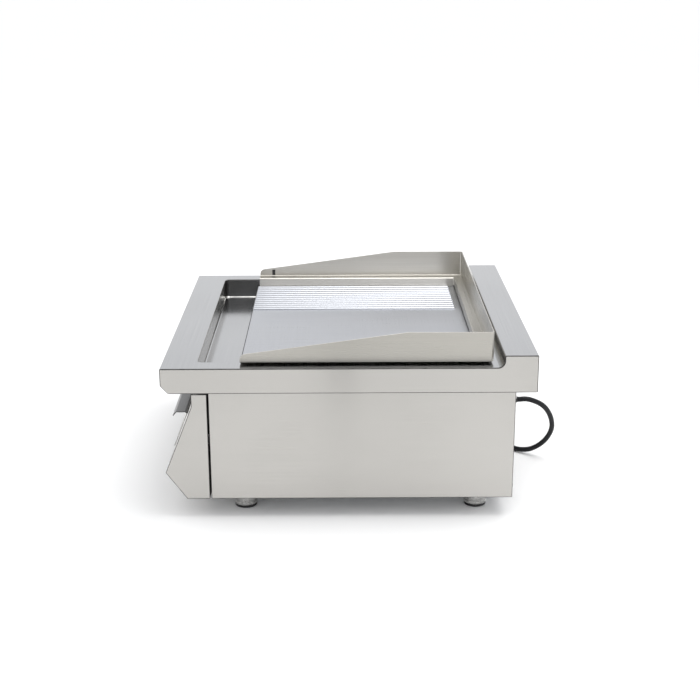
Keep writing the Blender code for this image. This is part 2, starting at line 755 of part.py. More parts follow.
def make_base_plate():
    """Base plate with a threaded weld bush over each foot and a field of cooling slots."""
    side = BODY_X - PANEL_SHEET - GAP
    low = (-side, SEAM_Y + SEAM + PANEL_SHEET + GAP, FLOOR_PLATE_Z)
    high = (side, BODY_REAR - PANEL_SHEET - GAP, FLOOR_PLATE_Z + SHEET)
    base = part("base_plate", boxes("base_plate", (low, high)), "galvanised")
    bushes = [place + Vector((0, 0, FLOOR_PLATE_Z + BUSH_HEIGHT / 2)) for _, place in foot_places()]
    join(base, rods("bushes", BUSH_RADIUS, BUSH_HEIGHT, [Matrix.Translation(b) for b in bushes], 20))
    cut(
        base,
        rods("stud_holes", FOOT_STUD_RADIUS + GAP, 0.04, [Matrix.Translation(b) for b in bushes], 20),
    )
    slots = vent_boxes(BASE_VENT_X, (BASE_VENT_Y, FOOT_HEIGHT), (BASE_VENT_Y + VENT_HEIGHT, 0.05))
    cut(base, boxes("base_vents", *slots))


def make_feet():
    """Four adjustable feet: a steel cup with its threaded stud, and a rubber pad."""
    stud_top = FLOOR_PLATE_Z + FOOT_STUD_RISE
    collar = FOOT_HEIGHT - GAP
    cup = [
        (0, stud_top),
        (FOOT_STUD_RADIUS, stud_top),
        (FOOT_STUD_RADIUS, collar),
        (FOOT_RADIUS, collar),
        (FOOT_RADIUS, FOOT_GROOVE_TOP),
        (FOOT_RADIUS - FOOT_GROOVE_DEPTH, FOOT_GROOVE_TOP),
        (FOOT_RADIUS - FOOT_GROOVE_DEPTH, FOOT_GROOVE_BOTTOM),
        (FOOT_RING_RADIUS, FOOT_GROOVE_BOTTOM),
        (FOOT_RING_RADIUS, PAD_HEIGHT + GAP),
        (0, PAD_HEIGHT + GAP),
    ]
    pad = [
        (0, PAD_HEIGHT),
        (PAD_RADIUS, PAD_HEIGHT),
        (PAD_RADIUS, 0.001),
        (PAD_RADIUS - 0.001, 0),
        (0, 0),
    ]
    for name, place in foot_places():
        turned("foot_cup_" + name, cup, "brushed_steel", Matrix.Translation(place), 24)
        turned("foot_pad_" + name, pad, "black_rubber", Matrix.Translation(place), 24)


def console_outline(behind):
    """Side outline of the console; its open back is carried rearwards by `behind`."""
    back = SEAM_Y + behind
    return [
        (-HALF_D + CONSOLE_TOE_SETBACK, FOOT_HEIGHT),
        (back, FOOT_HEIGHT),
        (back, CONSOLE_TOP_Z),
        (SLOPE_TOP.y, CONSOLE_TOP_Z),
        (SLOPE_TOP.y, SLOPE_TOP.z),
        (SLOPE_TIP.y, SLOPE_TIP.z),
    ]


def make_console():
    """Sloped control console: a folded shell, open behind, with drawer and control openings."""
    shell = part(
        "console_panel", prism("console_panel", console_outline(0), -BODY_X, BODY_X), "brushed_steel"
    )
    hollow = inset(console_outline(0.010), SHEET)
    cut(shell, prism("console_hollow", hollow, -BODY_X + SHEET, BODY_X - SHEET))
    top = on_console(0, DRAWER_TOP_DROP + DRAWER_OVERLAP).translation.z
    bottom = on_console(0, DRAWER_BOTTOM_DROP - DRAWER_OVERLAP).translation.z
    opening = (
        (DRAWER_LEFT + DRAWER_OVERLAP / 2, -HALF_D - 0.01, bottom),
        (DRAWER_RIGHT - DRAWER_OVERLAP / 2, SEAM_Y, top),
    )
    cut(shell, boxes("drawer_opening", opening))
    for x in KNOB_XS.values():
        hole = on_console(x, KNOB_DROP)
        cut(shell, rods("spindle_hole", SPINDLE_RADIUS + SPINDLE_HOLE_CLEARANCE, 0.02, [hole]))
        lamps = [on_console(x + LAMP_OFFSET, drop) for drop in LAMP_DROPS.values()]
        cut(shell, rods("lamp_holes", LAMP_STEM_RADIUS + GAP, 0.02, lamps))


def make_controls():
    """Per side: dial plate, thermostat, spindle, knob and two pilot lamps."""
    for side, x in KNOB_XS.items():
        face = on_console(x, KNOB_DROP)
        make_dial(side, face)
        make_thermostat(side, face)
        make_knob(side, face)
        for use, drop in LAMP_DROPS.items():
            make_lamp(f"{use}_lamp_{side}", on_console(x + LAMP_OFFSET, drop), use)


def make_dial(side, face):
    """Thin printed dial ring on the sloped face."""
    hole = SPINDLE_RADIUS + SPINDLE_HOLE_CLEARANCE
    ring = [
        (hole, GAP + DIAL_THICKNESS),
        (DIAL_RADIUS, GAP + DIAL_THICKNESS),
        (DIAL_RADIUS, GAP),
        (hole, GAP),
    ]
    turned("dial_plate_" + side, ring, "dial_print", face, 36, closed=True)


def make_thermostat(side, face):
    """Thermostat body behind the panel and the spindle that leaves it."""
    half = THERMOSTAT_SIZE / 2
    front = -SHEET - GAP
    name = "thermostat_" + side
    low, high = (-half, -half, front - THERMOSTAT_DEPTH), (half, half, front)
    body = part(name, boxes(name, (low, high)), "black_plastic", face)
    bore = SPINDLE_RADIUS + SPINDLE_CLEARANCE
    cut(body, rods(name + "_bore", bore, 0.024, [Matrix.Translation((0, 0, front))]), face)
    end = KNOB_LIFT + SPINDLE_BORE_DEPTH - GAP
    start = front - SPINDLE_INNER_LENGTH
    middle = Matrix.Translation((0, 0, (start + end) / 2))
    rod = rods("spindle_" + side, SPINDLE_RADIUS, end - start, [middle])
    shade_round(part("spindle_" + side, rod, "galvanised", face))


def make_knob(side, face):
    """Turned skirted knob with a raised grip bar and a blind bore for the spindle."""
    base, top = KNOB_LIFT, KNOB_LIFT + KNOB_HEIGHT - KNOB_DISC_DROP
    bore = SPINDLE_RADIUS + SPINDLE_CLEARANCE
    profile = [
        (0, top),
        (KNOB_RADIUS - 0.0050, top),
        (KNOB_RADIUS - 0.0035, top - 0.0012),
        (KNOB_RADIUS - 0.0020, base + 0.0042),
        (KNOB_RADIUS, base + 0.0030),
        (KNOB_RADIUS, base),
        (0, base),
    ]
    knob = turned("knob_" + side, profile, "black_plastic", face, 30)
    half = KNOB_RADIUS - GRIP_END_MARGIN
    low = (-GRIP_HALF_WIDTH, -half, base + 0.004)
    grip = boxes("grip", (low, (GRIP_HALF_WIDTH, half, base + KNOB_HEIGHT)))
    join(knob, grip, face)
    core = rods("knob_bore", bore, 2 * SPINDLE_BORE_DEPTH, [Matrix.Translation((0, 0, base))])
    cut(knob, core, face)


def make_lamp(name, face, use):
    """Pilot lamp: a domed lens on a stem that passes through the panel."""
    profile = [
        (0, 0.0052),
        (LAMP_RADIUS * 0.5, 0.0048),
        (LAMP_RADIUS * 0.85, 0.0034),
        (LAMP_RADIUS, 0.0014),
        (LAMP_RADIUS, GAP),
        (LAMP_STEM_RADIUS, GAP),
        (LAMP_STEM_RADIUS, -LAMP_STEM_LENGTH),
        (0, -LAMP_STEM_LENGTH),
    ]
    finish = {"power": "green_lens", "heating": "amber_lens"}[use]
    turned(name, profile, finish, face, 20)


def make_drawer():
    """Grease drawer: sloped front with a folded lip handle, and an open tray behind it."""
    back, front = DRAWER_STANDOFF, DRAWER_STANDOFF + SHEET
    up = SLOPE_UP

    def at(drop, out):
        place = SLOPE_TOP - up * drop + SLOPE_OUT * out
        return (place.y, place.z)

    top_back = at(DRAWER_TOP_DROP, back)
    lip_y = top_back[0] - DRAWER_LIP
    lean_y, lean_z = DRAWER_FLANGE_LEAN
    flange = (lip_y - DRAWER_LIP_FLANGE * lean_y, top_back[1] - DRAWER_LIP_FLANGE * lean_z)
    under = top_back[1] - SHEET
    outline = [
        at(DRAWER_BOTTOM_DROP, front),
        at(DRAWER_BOTTOM_DROP, back),
        top_back,
        (lip_y, top_back[1]),
        flange,
        (flange[0] + SHEET, flange[1] - SHEET * 0.3),
        (lip_y + SHEET * 0.6, under),
        at((SLOPE_TOP.z - under) / up.z, front),
    ]
    outline = outline[::-1]
    front_mesh = prism("drawer_front", outline, DRAWER_LEFT, DRAWER_RIGHT)
    part("drawer_front", front_mesh, "brushed_steel")
    make_drawer_tray()


def make_drawer_tray():
    """Open-topped tray of the drawer; its sloped front end follows the console's slope."""
    clearance = DRAWER_OVERLAP / 2 + DRAWER_STANDOFF
    low_x, high_x = DRAWER_LEFT + clearance, DRAWER_RIGHT - clearance
    rear = SLOPE_TOP.y + DRAWER_LENGTH
    slope = SLOPE_UP.y / SLOPE_UP.z

    def slope_y(z):
        face = SLOPE_TOP.y - (SLOPE_TOP.z - z) * slope
        return face - DRAWER_STANDOFF / SLOPE_UP.z + DRAWER_TRAY_GAP

    outline = [
        (slope_y(DRAWER_FLOOR_Z), DRAWER_FLOOR_Z),
        (rear, DRAWER_FLOOR_Z),
        (rear, DRAWER_RIM_Z),
        (slope_y(DRAWER_RIM_Z), DRAWER_RIM_Z),
    ]
    tray = part("drawer_tray", prism("drawer_tray", outline, low_x, high_x), "brushed_steel")
    above = DRAWER_RIM_Z + 0.01
    raised = inset(outline[:2] + [(rear, above), (slope_y(above), above)], DRAWER_SHEET)
    cut(tray, prism("tray_inside", raised, low_x + DRAWER_SHEET, high_x - DRAWER_SHEET))
    make_drawer_rails(low_x, high_x, rear)


def make_drawer_rails(low_x, high_x, rear):
    """Two angle rails that carry the tray's lower edges."""
    front = SLOPE_TOP.y + 0.004
    shelf_top = DRAWER_FLOOR_Z - GAP
    for side, wall, inward in (("left", low_x - GAP, 1), ("right", high_x + GAP, -1)):
        outer = wall - inward * PANEL_SHEET
        shelf = wall + inward * RAIL_SHELF
        name = "drawer_rail_" + side
        upright = (
            (min(wall, outer), front, shelf_top - PANEL_SHEET),
            (max(wall, outer), rear + 0.002, shelf_top + RAIL_HEIGHT),
        )
        shelf_box = (
            (min(outer, shelf), front, shelf_top - PANEL_SHEET),
            (max(outer, shelf), rear + 0.002, shelf_top),
        )
        rail = part(name, boxes(name, upright), "galvanised")
        join(rail, boxes(name + "_shelf", shelf_box))


def make_drain_spout():
    """Flanged spout that carries grease from the trough's drain down into the drawer."""
    top = TROUGH_FLOOR - SHEET - GAP
    bore = DRAIN_RADIUS
    ring = [
        (bore, top),
        (bore + 0.006, top),
        (bore + 0.006, top - SPOUT_WALL),
        (bore + SPOUT_WALL, top - SPOUT_WALL),
        (bore + SPOUT_WALL, SPOUT_END_Z),
        (bore, SPOUT_END_Z),
    ]
    turned("drain_spout", ring, "brushed_steel", Matrix.Translation((DRAIN_X, DRAIN_Y, 0)), 28, True)


def heater_xs(sign):
    """X of each straight run of one heating element, from the middle outwards."""
    return [sign * (HEATER_FIRST_X + HEATER_PITCH * run) for run in range(HEATER_RUNS)]


def make_heaters():
    """Two serpentine tubular elements with their ends bent down through the heat shield."""
    for side, sign in (("left", -1), ("right", 1)):
        xs = heater_xs(sign)
        path = [Vector((xs[0], HEATER_FRONT, HEATER_LEG_END_Z)), Vector((xs[0], HEATER_FRONT, HEATER_Z))]
        for run, x in enumerate(xs):
            far = HEATER_REAR if run % 2 == 0 else HEATER_FRONT
            if run < len(xs) - 1:
                path += [Vector((x, far, HEATER_Z)), Vector((xs[run + 1], far, HEATER_Z))]
        path.append(Vector((xs[-1], HEATER_FRONT, HEATER_Z)))
        path.append(Vector((xs[-1], HEATER_FRONT, HEATER_LEG_END_Z)))
        points = bent(path, HEATER_LEG_RADIUS)
        tube("heating_element_" + side, points, HEATER_RADIUS, "heater_sheath")
        low, high = min(xs) - 0.006, max(xs) + 0.006
        middle = (HEATER_FRONT + HEATER_REAR) / 2
        name = "element_clamp_" + side
        bar = (
            (low, middle - CLAMP_WIDTH / 2, CLAMP_TOP - CLAMP_THICKNESS),
            (high, middle + CLAMP_WIDTH / 2, CLAMP_TOP),
        )
        part(name, boxes(name, bar), "galvanised")


def leg_frames(radius):
    """Holes, as a mesh, where the element legs and capillaries pass the shield and insulation."""
    places = []
    for sign in (-1, 1):
        xs = heater_xs(sign)
        places += [(xs[0], HEATER_FRONT), (xs[-1], HEATER_FRONT), (sensor_x(sign), sensor_front())]
    frames = [Matrix.Translation((x, y, SHIELD_BOTTOM)) for x, y in places]
    return rods("leg_holes", radius, 0.12, frames, 12)


def sensor_x(sign):
    """X of one thermostat bulb, midway between two element runs."""
    return sign * (HEATER_FIRST_X + HEATER_PITCH * 2.5)


def sensor_front():
    """Y at which a capillary turns down through the shield."""
    return HEATER_FRONT + SENSOR_SETBACK


def make_shield():
    """Galvanised heat-shield tray under the elements, and the mineral wool in it."""
    side = WINDOW_X - 0.004
    front, rear = WINDOW_FRONT + 0.003, WINDOW_REAR - 0.003
    flange = (
        (-side - SHIELD_FLANGE, WINDOW_FRONT - 0.0025, SHIELD_TOP - PANEL_SHEET),
        (side + SHIELD_FLANGE, rear + SHIELD_FLANGE, SHIELD_TOP),
    )
    shield = part("heat_shield", boxes("heat_shield", flange), "galvanised")
    join(shield, boxes("shield_tub", ((-side, front, SHIELD_BOTTOM), (side, rear, SHIELD_TOP - GAP))))
    inner = side - PANEL_SHEET
    floor = SHIELD_BOTTOM + PANEL_SHEET
    low = (-inner, front + PANEL_SHEET, floor)
    cut(shield, boxes("shield_inside", (low, (inner, rear - PANEL_SHEET, SHIELD_TOP + 0.01))))
    cut(shield, leg_frames(HEATER_RADIUS + HEATER_LEG_CLEARANCE))
    wool = (
        (-inner + GAP, front + PANEL_SHEET + GAP, floor + GAP),
        (inner - GAP, rear - PANEL_SHEET - GAP, CLAMP_TOP - CLAMP_THICKNESS - INSULATION_TOP_GAP),
    )
    insulation = part("insulation", boxes("insulation", wool), "mineral_wool")
    cut(insulation, leg_frames(HEATER_RADIUS + HEATER_LEG_CLEARANCE / 2))


def make_sensors():
    """Thermostat bulbs under the plate, each with its capillary down to its thermostat."""
    z = PLATE_BOTTOM - GAP - BULB_RADIUS
    for side, sign in (("left", -1), ("right", 1)):
        x, front = sensor_x(sign), sensor_front()
        bulb_start = front + 0.030
        back = -SHEET - THERMOSTAT_DEPTH - 4 * GAP
        target = on_console(KNOB_XS[side], KNOB_DROP) @ Vector((0, CAPILLARY_OFFSET, back))
        corners = [
            (x, bulb_start, z),
            (x, front, z),
            (x, front, CAPILLARY_DROP_Z),
            (target.x, target.y + 0.040, CAPILLARY_DROP_Z),
            tuple(target),
        ]
        thin = bent(corners, 0.006, 3)
        thick = [Vector((x, bulb_start + BULB_LENGTH, z)), Vector((x, bulb_start + 0.003, z))]
        widths = [1.0, 1.0] + [CAPILLARY_RADIUS / BULB_RADIUS] * len(thin)
        tube("sensor_" + side, thick + thin, BULB_RADIUS, "copper", 2, widths)


def make_limiter():
    """Safety limiter behind the rear panel and its reset button."""
    wide, deep, tall = LIMITER_BOX
    front = BODY_REAR - PANEL_SHEET - GAP
    low = (LIMITER_X - wide / 2, front - deep, LIMITER_Z - tall / 2)
    high = (LIMITER_X + wide / 2, front, LIMITER_Z + tall / 2)
    limiter = part("safety_limiter", boxes("safety_limiter", (low, high)), "black_plastic")
    reach = BUTTON_REACH
    frame = facing((LIMITER_X, front, LIMITER_Z), (0, 1, 0))
    depth = 2 * (reach + BUTTON_TRAVEL + 0.001)
    cut(limiter, rods("button_bore", BUTTON_RADIUS + GAP, depth, [frame]))
    profile = [
        (0, BUTTON_PROUD),
        (BUTTON_RADIUS - 0.001, BUTTON_PROUD),
        (BUTTON_RADIUS, BUTTON_PROUD - 0.001),
        (BUTTON_RADIUS, front - reach - BODY_REAR),
        (0, front - reach - BODY_REAR),
    ]
    place = facing((LIMITER_X, BODY_REAR, LIMITER_Z), (0, 1, 0))
    turned("reset_button", profile, "red_plastic", place, 20)


def make_supply():
    """Cable gland, inner lead, terminal block and equipotential stud."""
    frame = facing((GLAND_X, BODY_REAR, GLAND_Z), (0, 1, 0))
    thread = GLAND_THREAD_RADIUS
    gland = [
        (0, GLAND_NOSE_LENGTH),
        (CORD_RADIUS + 0.0012, GLAND_NOSE_LENGTH),
        (CORD_RADIUS + 0.0030, 0.0150),
        (thread + 0.0005, 0.0120),
        (thread + 0.0030, 0.0095),
        (thread + 0.0030, GAP),
        (thread, GAP),
        (thread, -GLAND_INNER_LENGTH),
        (0, -GLAND_INNER_LENGTH),
    ]
    turned("cable_gland", gland, "black_plastic", frame, 24)
    wide, deep, tall = TERMINAL_BOX
    floor = FLOOR_PLATE_Z + SHEET + GAP
    rear = BODY_REAR - TERMINAL_SETBACK
    low = (TERMINAL_X - wide / 2, rear - deep, floor)
    block = part(
        "terminal_block",
        boxes("terminal_block", (low, (TERMINAL_X + wide / 2, rear, floor + tall))),
        "white_ceramic",
    )
    middle = (TERMINAL_POLES - 1) / 2
    poles = [TERMINAL_X + (index - middle) * TERMINAL_PITCH for index in range(TERMINAL_POLES)]
    screws = [Matrix.Translation((x, rear - deep / 2, floor + tall)) for x in poles]
    cut(block, rods("terminal_screws", 0.003, 0.012, screws, 12))
    inside = BODY_REAR - GLAND_INNER_LENGTH - GAP
    middle, level = rear - deep / 2, floor + tall / 2
    lead = [
        (GLAND_X, inside, GLAND_Z),
        (GLAND_X, middle, GLAND_Z),
        (GLAND_X, middle, level),
        (TERMINAL_X + wide / 2 + GAP, middle, level),
    ]
    tube("inner_lead", bent(lead, LEAD_BEND), CORD_RADIUS, "black_rubber")
    stud = [
        (0, 0.014),
        (EARTH_STUD_RADIUS, 0.014),
        (EARTH_STUD_RADIUS, 0.007),
        (0.0055, 0.0065),
        (0.0055, 0.0015),
        (0.0075, 0.0013),
        (0.0075, GAP),
        (EARTH_STUD_RADIUS, GAP),
        (EARTH_STUD_RADIUS, -0.010),
        (0, -0.010),
    ]
    earth = facing((EARTH_STUD_X, BODY_REAR, EARTH_STUD_Z), (0, 1, 0))
    turned("equipotential_stud", stud, "brass", earth, 18)


def make_cord():
    """Free supply cord, its stored coil with a tie, and the plug with its two pins."""
    tube("power_cord", smooth_path(CORD_ROUTE, CORD_SPACING), CORD_RADIUS, "black_rubber")
    centre = Vector((*COIL_CENTRE, 0))
    inner, outer = COIL_RADIUS - COIL_HALF_WIDTH, COIL_RADIUS + COIL_HALF_WIDTH
    low, high = COIL_BASE, COIL_BASE + COIL_HEIGHT
    soft = COIL_SOFTENING
    ring = [
        (inner, high - soft),
        (inner + soft, high),
        (outer - soft, high),
        (outer, high - soft),
        (outer, low + soft),
        (outer - soft, low),
        (inner + soft, low),
        (inner, low + soft),
    ]
    turned("cord_coil", ring, "black_rubber", Matrix.Translation(centre), 36, True)
    make_tie(centre, low, high)
    make_plug(centre, high)


def make_tie(centre, low, high):
    """Band that wraps the coil's section on its front side."""
    middle = centre.y - COIL_RADIUS
    reach = COIL_HALF_WIDTH + TIE_CLEARANCE
    half = TIE_WIDTH / 2
    inner = (
        (centre.x - half - 0.01, middle - reach, low - TIE_CLEARANCE),
        (centre.x + half + 0.01, middle + reach, high + TIE_CLEARANCE),
    )
    wall = TIE_THICKNESS
    outer = (
        (centre.x - half, middle - reach - wall, low - TIE_CLEARANCE - TIE_THICKNESS),
        (centre.x + half, middle + reach + wall, high + TIE_CLEARANCE + wall),
    )
    tie = part("cord_tie", boxes("cord_tie", outer), "black_plastic")
    cut(tie, boxes("tie_inside", inner))


def make_plug(centre, coil_top):
    """Round-pin plug lying on the coil, its cord end to the rear and its pins forward."""
    height = coil_top + GAP + PLUG_RADIUS
    frame = facing((centre.x - COIL_RADIUS, centre.y, height), (0, -1, 0))
    half = PLUG_LENGTH / 2
    body = [
        (0, half),
        (PLUG_RADIUS - 0.0015, half),
        (PLUG_RADIUS, half - 0.0015),
        (PLUG_RADIUS, half - 0.020),
        (PLUG_RADIUS - 0.004, half - 0.028),
        (CORD_RADIUS + 0.003, -half + 0.010),
        (CORD_RADIUS + 0.0015, -half),
        (0, -half),
    ]
    plug = turned("plug", body, "black_rubber", frame, 28)
    for side, sign in (("left", -1), ("right", 1)):
        pin_frame = frame @ Matrix.Translation((0, sign * PIN_SPACING / 2, half))
        hole = rods("pin_hole", PIN_RADIUS + GAP, 2 * PIN_ROOT, [Matrix()], 16)
        cut(plug, hole, pin_frame)
        root = PIN_ROOT - GAP
        pin = [
            (0, PIN_LENGTH),
            (PIN_RADIUS - 0.0008, PIN_LENGTH),
            (PIN_RADIUS, PIN_LENGTH - 0.0012),
            (PIN_RADIUS, -root),
            (0, -root),
        ]
        turned("plug_pin_" + side, pin, "brass", pin_frame, 16)


def main():
    """Build the griddle from its worktop down to its cord."""
    clear_scene()
    make_worktop()
    make_plate()
    make_guard()
    make_side_panels()
    make_rear_panel()
    make_rear_screws()
    make_base_plate()
    make_feet()
    make_console()
    make_controls()
    make_drawer()
    make_drain_spout()
    make_heaters()
    make_shield()
    make_sensors()
    make_limiter()
    make_supply()
    make_cord()


main()
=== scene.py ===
"""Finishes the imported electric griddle: folded steel, ribbed plate, controls, feet, cord, studio.

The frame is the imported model's own: +X is to the cook's right, -Y is the front, +Z is up, and
the origin is on the floor under the middle of the worktop. Every length is in metres.
"""

import json
import logging
import math
from collections.abc import Sequence
from dataclasses import dataclass
from enum import Enum, IntEnum
from typing import Any

import bmesh
import bpy
import numpy as np
from mathutils import Matrix, Vector

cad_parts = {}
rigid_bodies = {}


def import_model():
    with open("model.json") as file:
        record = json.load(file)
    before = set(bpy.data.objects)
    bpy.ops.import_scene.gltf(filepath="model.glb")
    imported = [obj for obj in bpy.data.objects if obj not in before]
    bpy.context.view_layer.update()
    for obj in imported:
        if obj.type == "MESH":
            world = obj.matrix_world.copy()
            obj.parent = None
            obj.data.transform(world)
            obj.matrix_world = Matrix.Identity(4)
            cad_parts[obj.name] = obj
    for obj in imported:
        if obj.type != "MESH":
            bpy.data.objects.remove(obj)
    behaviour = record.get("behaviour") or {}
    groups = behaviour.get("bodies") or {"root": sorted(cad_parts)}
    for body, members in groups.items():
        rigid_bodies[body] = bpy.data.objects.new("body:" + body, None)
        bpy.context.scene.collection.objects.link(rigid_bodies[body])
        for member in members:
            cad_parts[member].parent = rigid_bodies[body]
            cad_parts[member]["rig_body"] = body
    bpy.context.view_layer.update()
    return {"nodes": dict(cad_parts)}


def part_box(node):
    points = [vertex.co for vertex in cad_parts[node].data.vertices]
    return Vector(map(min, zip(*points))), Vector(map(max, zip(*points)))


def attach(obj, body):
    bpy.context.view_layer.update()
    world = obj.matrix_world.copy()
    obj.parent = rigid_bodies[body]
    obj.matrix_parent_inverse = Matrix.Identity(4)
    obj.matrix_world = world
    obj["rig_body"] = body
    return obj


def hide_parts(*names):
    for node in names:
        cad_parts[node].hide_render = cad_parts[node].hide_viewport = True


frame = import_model()
LOG = logging.getLogger("griddle")

Array = np.ndarray
Point = tuple[float, float, float]
Colour = tuple[float, float, float]



class Side(Enum):
    """The cook's two sides."""

    LEFT = "left"
    RIGHT = "right"


class Patch(IntEnum):
    """Number that a face of the worktop carries for its finish."""

    FACE = 0
    UPRIGHT = 1
    # Folds and hems: a dark painted shade line.
    CUT = 2
    # Folds at the recess floor: a painted highlight.
    FOOT = 3
    # Recess walls: painted shade.
    WALL = 4


SHEET = 0.0015
TOP = 0.2584
FINE_EDGE = 0.0003
SLOPE_TOP = Vector((0.0, -0.252, 0.193))
SLOPE_TIP = Vector((0.0, -0.2975, 0.080))
SLOPE_UP = (SLOPE_TOP - SLOPE_TIP).normalized()
SLOPE_OUT = Vector((0.0, -SLOPE_UP.z, SLOPE_UP.y))


# ---------------------------------------------------------------- shader nodes


class Number:
    """A value socket; arithmetic on it adds Math nodes."""

    def __init__(self, tree: "Tree", socket: bpy.types.NodeSocket) -> None:
        """Keep the tree and the socket that carries the value."""
        self.tree = tree
        self.socket = socket

    def _math(self, operation: str, first: Any, second: Any) -> "Number":
        """Add one Math node and wrap its result."""
        node = self.tree.node("ShaderNodeMath", {"operation": operation}, {0: first, 1: second})
        return Number(self.tree, node.outputs[0])

    def __add__(self, other: Any) -> "Number":
        """Sum."""
        return self._math("ADD", self, other)

    def __sub__(self, other: Any) -> "Number":
        """Difference."""
        return self._math("SUBTRACT", self, other)

    def __rsub__(self, other: Any) -> "Number":
        """Difference with this value taken away."""
        return self._math("SUBTRACT", other, self)

    def __mul__(self, other: Any) -> "Number":
        """Product."""
        return self._math("MULTIPLY", self, other)

    __radd__ = __add__
    __rmul__ = __mul__

    def between(self, low: float, high: float) -> "Number":
        """Share of the way from low to high, eased at both ends and held inside 0 to 1.

        Args:
            low: value that gives 0.
            high: value that gives 1.

        Returns:
            The eased share.
        """
        node = self.tree.node(
            "ShaderNodeMapRange",
            {"interpolation_type": "SMOOTHSTEP"},
            {"Value": self, "From Min": low, "From Max": high},
        )
        return Number(self.tree, node.outputs["Result"])


class Tree:
    """A material's node tree with one way to add any node."""

    def __init__(self, material: bpy.types.Material) -> None:
        """Empty the material's tree and give it a Principled surface.

        Args:
            material: the material to fill.
        """
        material.use_nodes = True
        self.nodes = material.node_tree.nodes
        self.links = material.node_tree.links
        self.nodes.clear()
        self.surface = self.node("ShaderNodeBsdfPrincipled")
        output = self.node("ShaderNodeOutputMaterial")
        self.links.new(self.surface.outputs[0], output.inputs["Surface"])

    def node(
        self,
        kind: str,
        settings: dict[str, Any] | None = None,
        sockets: dict[str | int, Any] | None = None,
    ) -> bpy.types.Node:
        """Add a node, set its settings first and then its sockets.

        Args:
            kind: Blender's node type.
            settings: attributes of the node.
            sockets: value, Number or socket for each named or numbered input.

        Returns:
            The new node.
        """
        node = self.nodes.new(kind)
        for name, value in (settings or {}).items():
            setattr(node, name, value)
        for name, value in (sockets or {}).items():
            self.feed(node.inputs[name], value)
        return node

    def feed(self, target: bpy.types.NodeSocket, value: Any) -> None:
        """Link a Number or socket to the target, or write a plain value on it.

        Args:
            target: the input.
            value: Number, socket or plain value.
        """
        if isinstance(value, Number):
            self.links.new(value.socket, target)
        elif isinstance(value, bpy.types.NodeSocket):
            self.links.new(value, target)
        else:
            target.default_value = value

    def places(self, scale: Point, shift: Point = (0, 0, 0)) -> bpy.types.NodeSocket:
        """Object coordinates, scaled and shifted.

        Args:
            scale: cells per metre along X, Y and Z.
            shift: offset after scaling.

        Returns:
            The vector socket.
        """
        where = self.node("ShaderNodeTexCoord").outputs["Object"]
        sockets = {"Vector": where, "Scale": scale, "Location": shift}
        return self.node("ShaderNodeMapping", None, sockets).outputs[0]

    def noise(self, scale: Point, detail: float = 2.0, shift: Point = (0, 0, 0)) -> Number:
        """Smooth noise over Object coordinates.

        Args:
            scale: cells per metre along X, Y and Z.
            detail: octaves.
            shift: offset that picks another part of the pattern.

        Returns:
            A value about 0.5.
        """
        sockets = {"Vector": self.places(scale, shift), "Scale": 1.0, "Detail": detail}
        made = self.node("ShaderNodeTexNoise", {"noise_dimensions": "3D"}, sockets)
        return Number(self, made.outputs[0])

    def facing_sideways(self) -> Number:
        """1 where the piece's own surface faces along X, 0 elsewhere.

        Returns:
            The share, eased between the two.
        """
        normal = self.node("ShaderNodeTexCoord").outputs["Normal"]
        parts = self.node("ShaderNodeSeparateXYZ", None, {0: normal})
        size = self.node("ShaderNodeMath", {"operation": "ABSOLUTE"}, {0: parts.outputs[0]})
        return Number(self, size.outputs[0]).between(0.45, 0.75)

    def mix(self, share: Any, first: Colour, second: Colour) -> bpy.types.NodeSocket:
        """A colour between two colours.

        Args:
            share: 0 gives the first colour and 1 the second.
            first: linear RGB.
            second: linear RGB.

        Returns:
            The colour socket.
        """
        settings = {"data_type": "RGBA"}
        sockets = {0: share, 6: (*first, 1.0), 7: (*second, 1.0)}
        return self.node("ShaderNodeMix", settings, sockets).outputs[2]

    def bump(self, height: Number, distance: float, strength: float = 1.0) -> None:
        """Feed a bump of that height in metres to the surface's normal.

        Args:
            height: pattern from 0 to 1.
            distance: metres at 1.
            strength: share of the bump that is used.
        """
        sockets = {"Height": height, "Distance": distance, "Strength": strength}
        node = self.node("ShaderNodeBump", None, sockets)
        self.links.new(node.outputs[0], self.surface.inputs["Normal"])

    def set(self, **values: Any) -> None:
        """Set or link surface inputs; an underscore in a name stands for a space."""
        for name, value in values.items():
            self.feed(self.surface.inputs[name.replace("_", " ")], value)


def shade(colour: Colour, factor: float) -> Colour:
    """The colour made lighter or darker by a factor."""
    return tuple(min(1.0, channel * factor) for channel in colour)


# -------------------------------------------------------------------- finishes


@dataclass(frozen=True)
class Finish:
    """A named finish; `paint` fills the tree of its material."""

    name: str
    colour: Colour
    roughness: float

    def material(self) -> bpy.types.Material:
        """The finish's material, made once.

        Returns:
            The material.
        """
        key = "finish_" + self.name
        if key not in bpy.data.materials:
            made = bpy.data.materials.new(key)
            self.paint(Tree(made))
        return bpy.data.materials[key]

    def paint(self, tree: Tree) -> None:
        """Fill the tree with a plain surface that has a faint cloudiness.

        Args:
            tree: the material's tree.
        """
        cloud = tree.noise((60, 60, 60), 3)
        tree.set(
            Base_Color=tree.mix(cloud, shade(self.colour, 0.9), shade(self.colour, 1.1)),
            Roughness=cloud * 0.12 + (self.roughness - 0.06),
        )


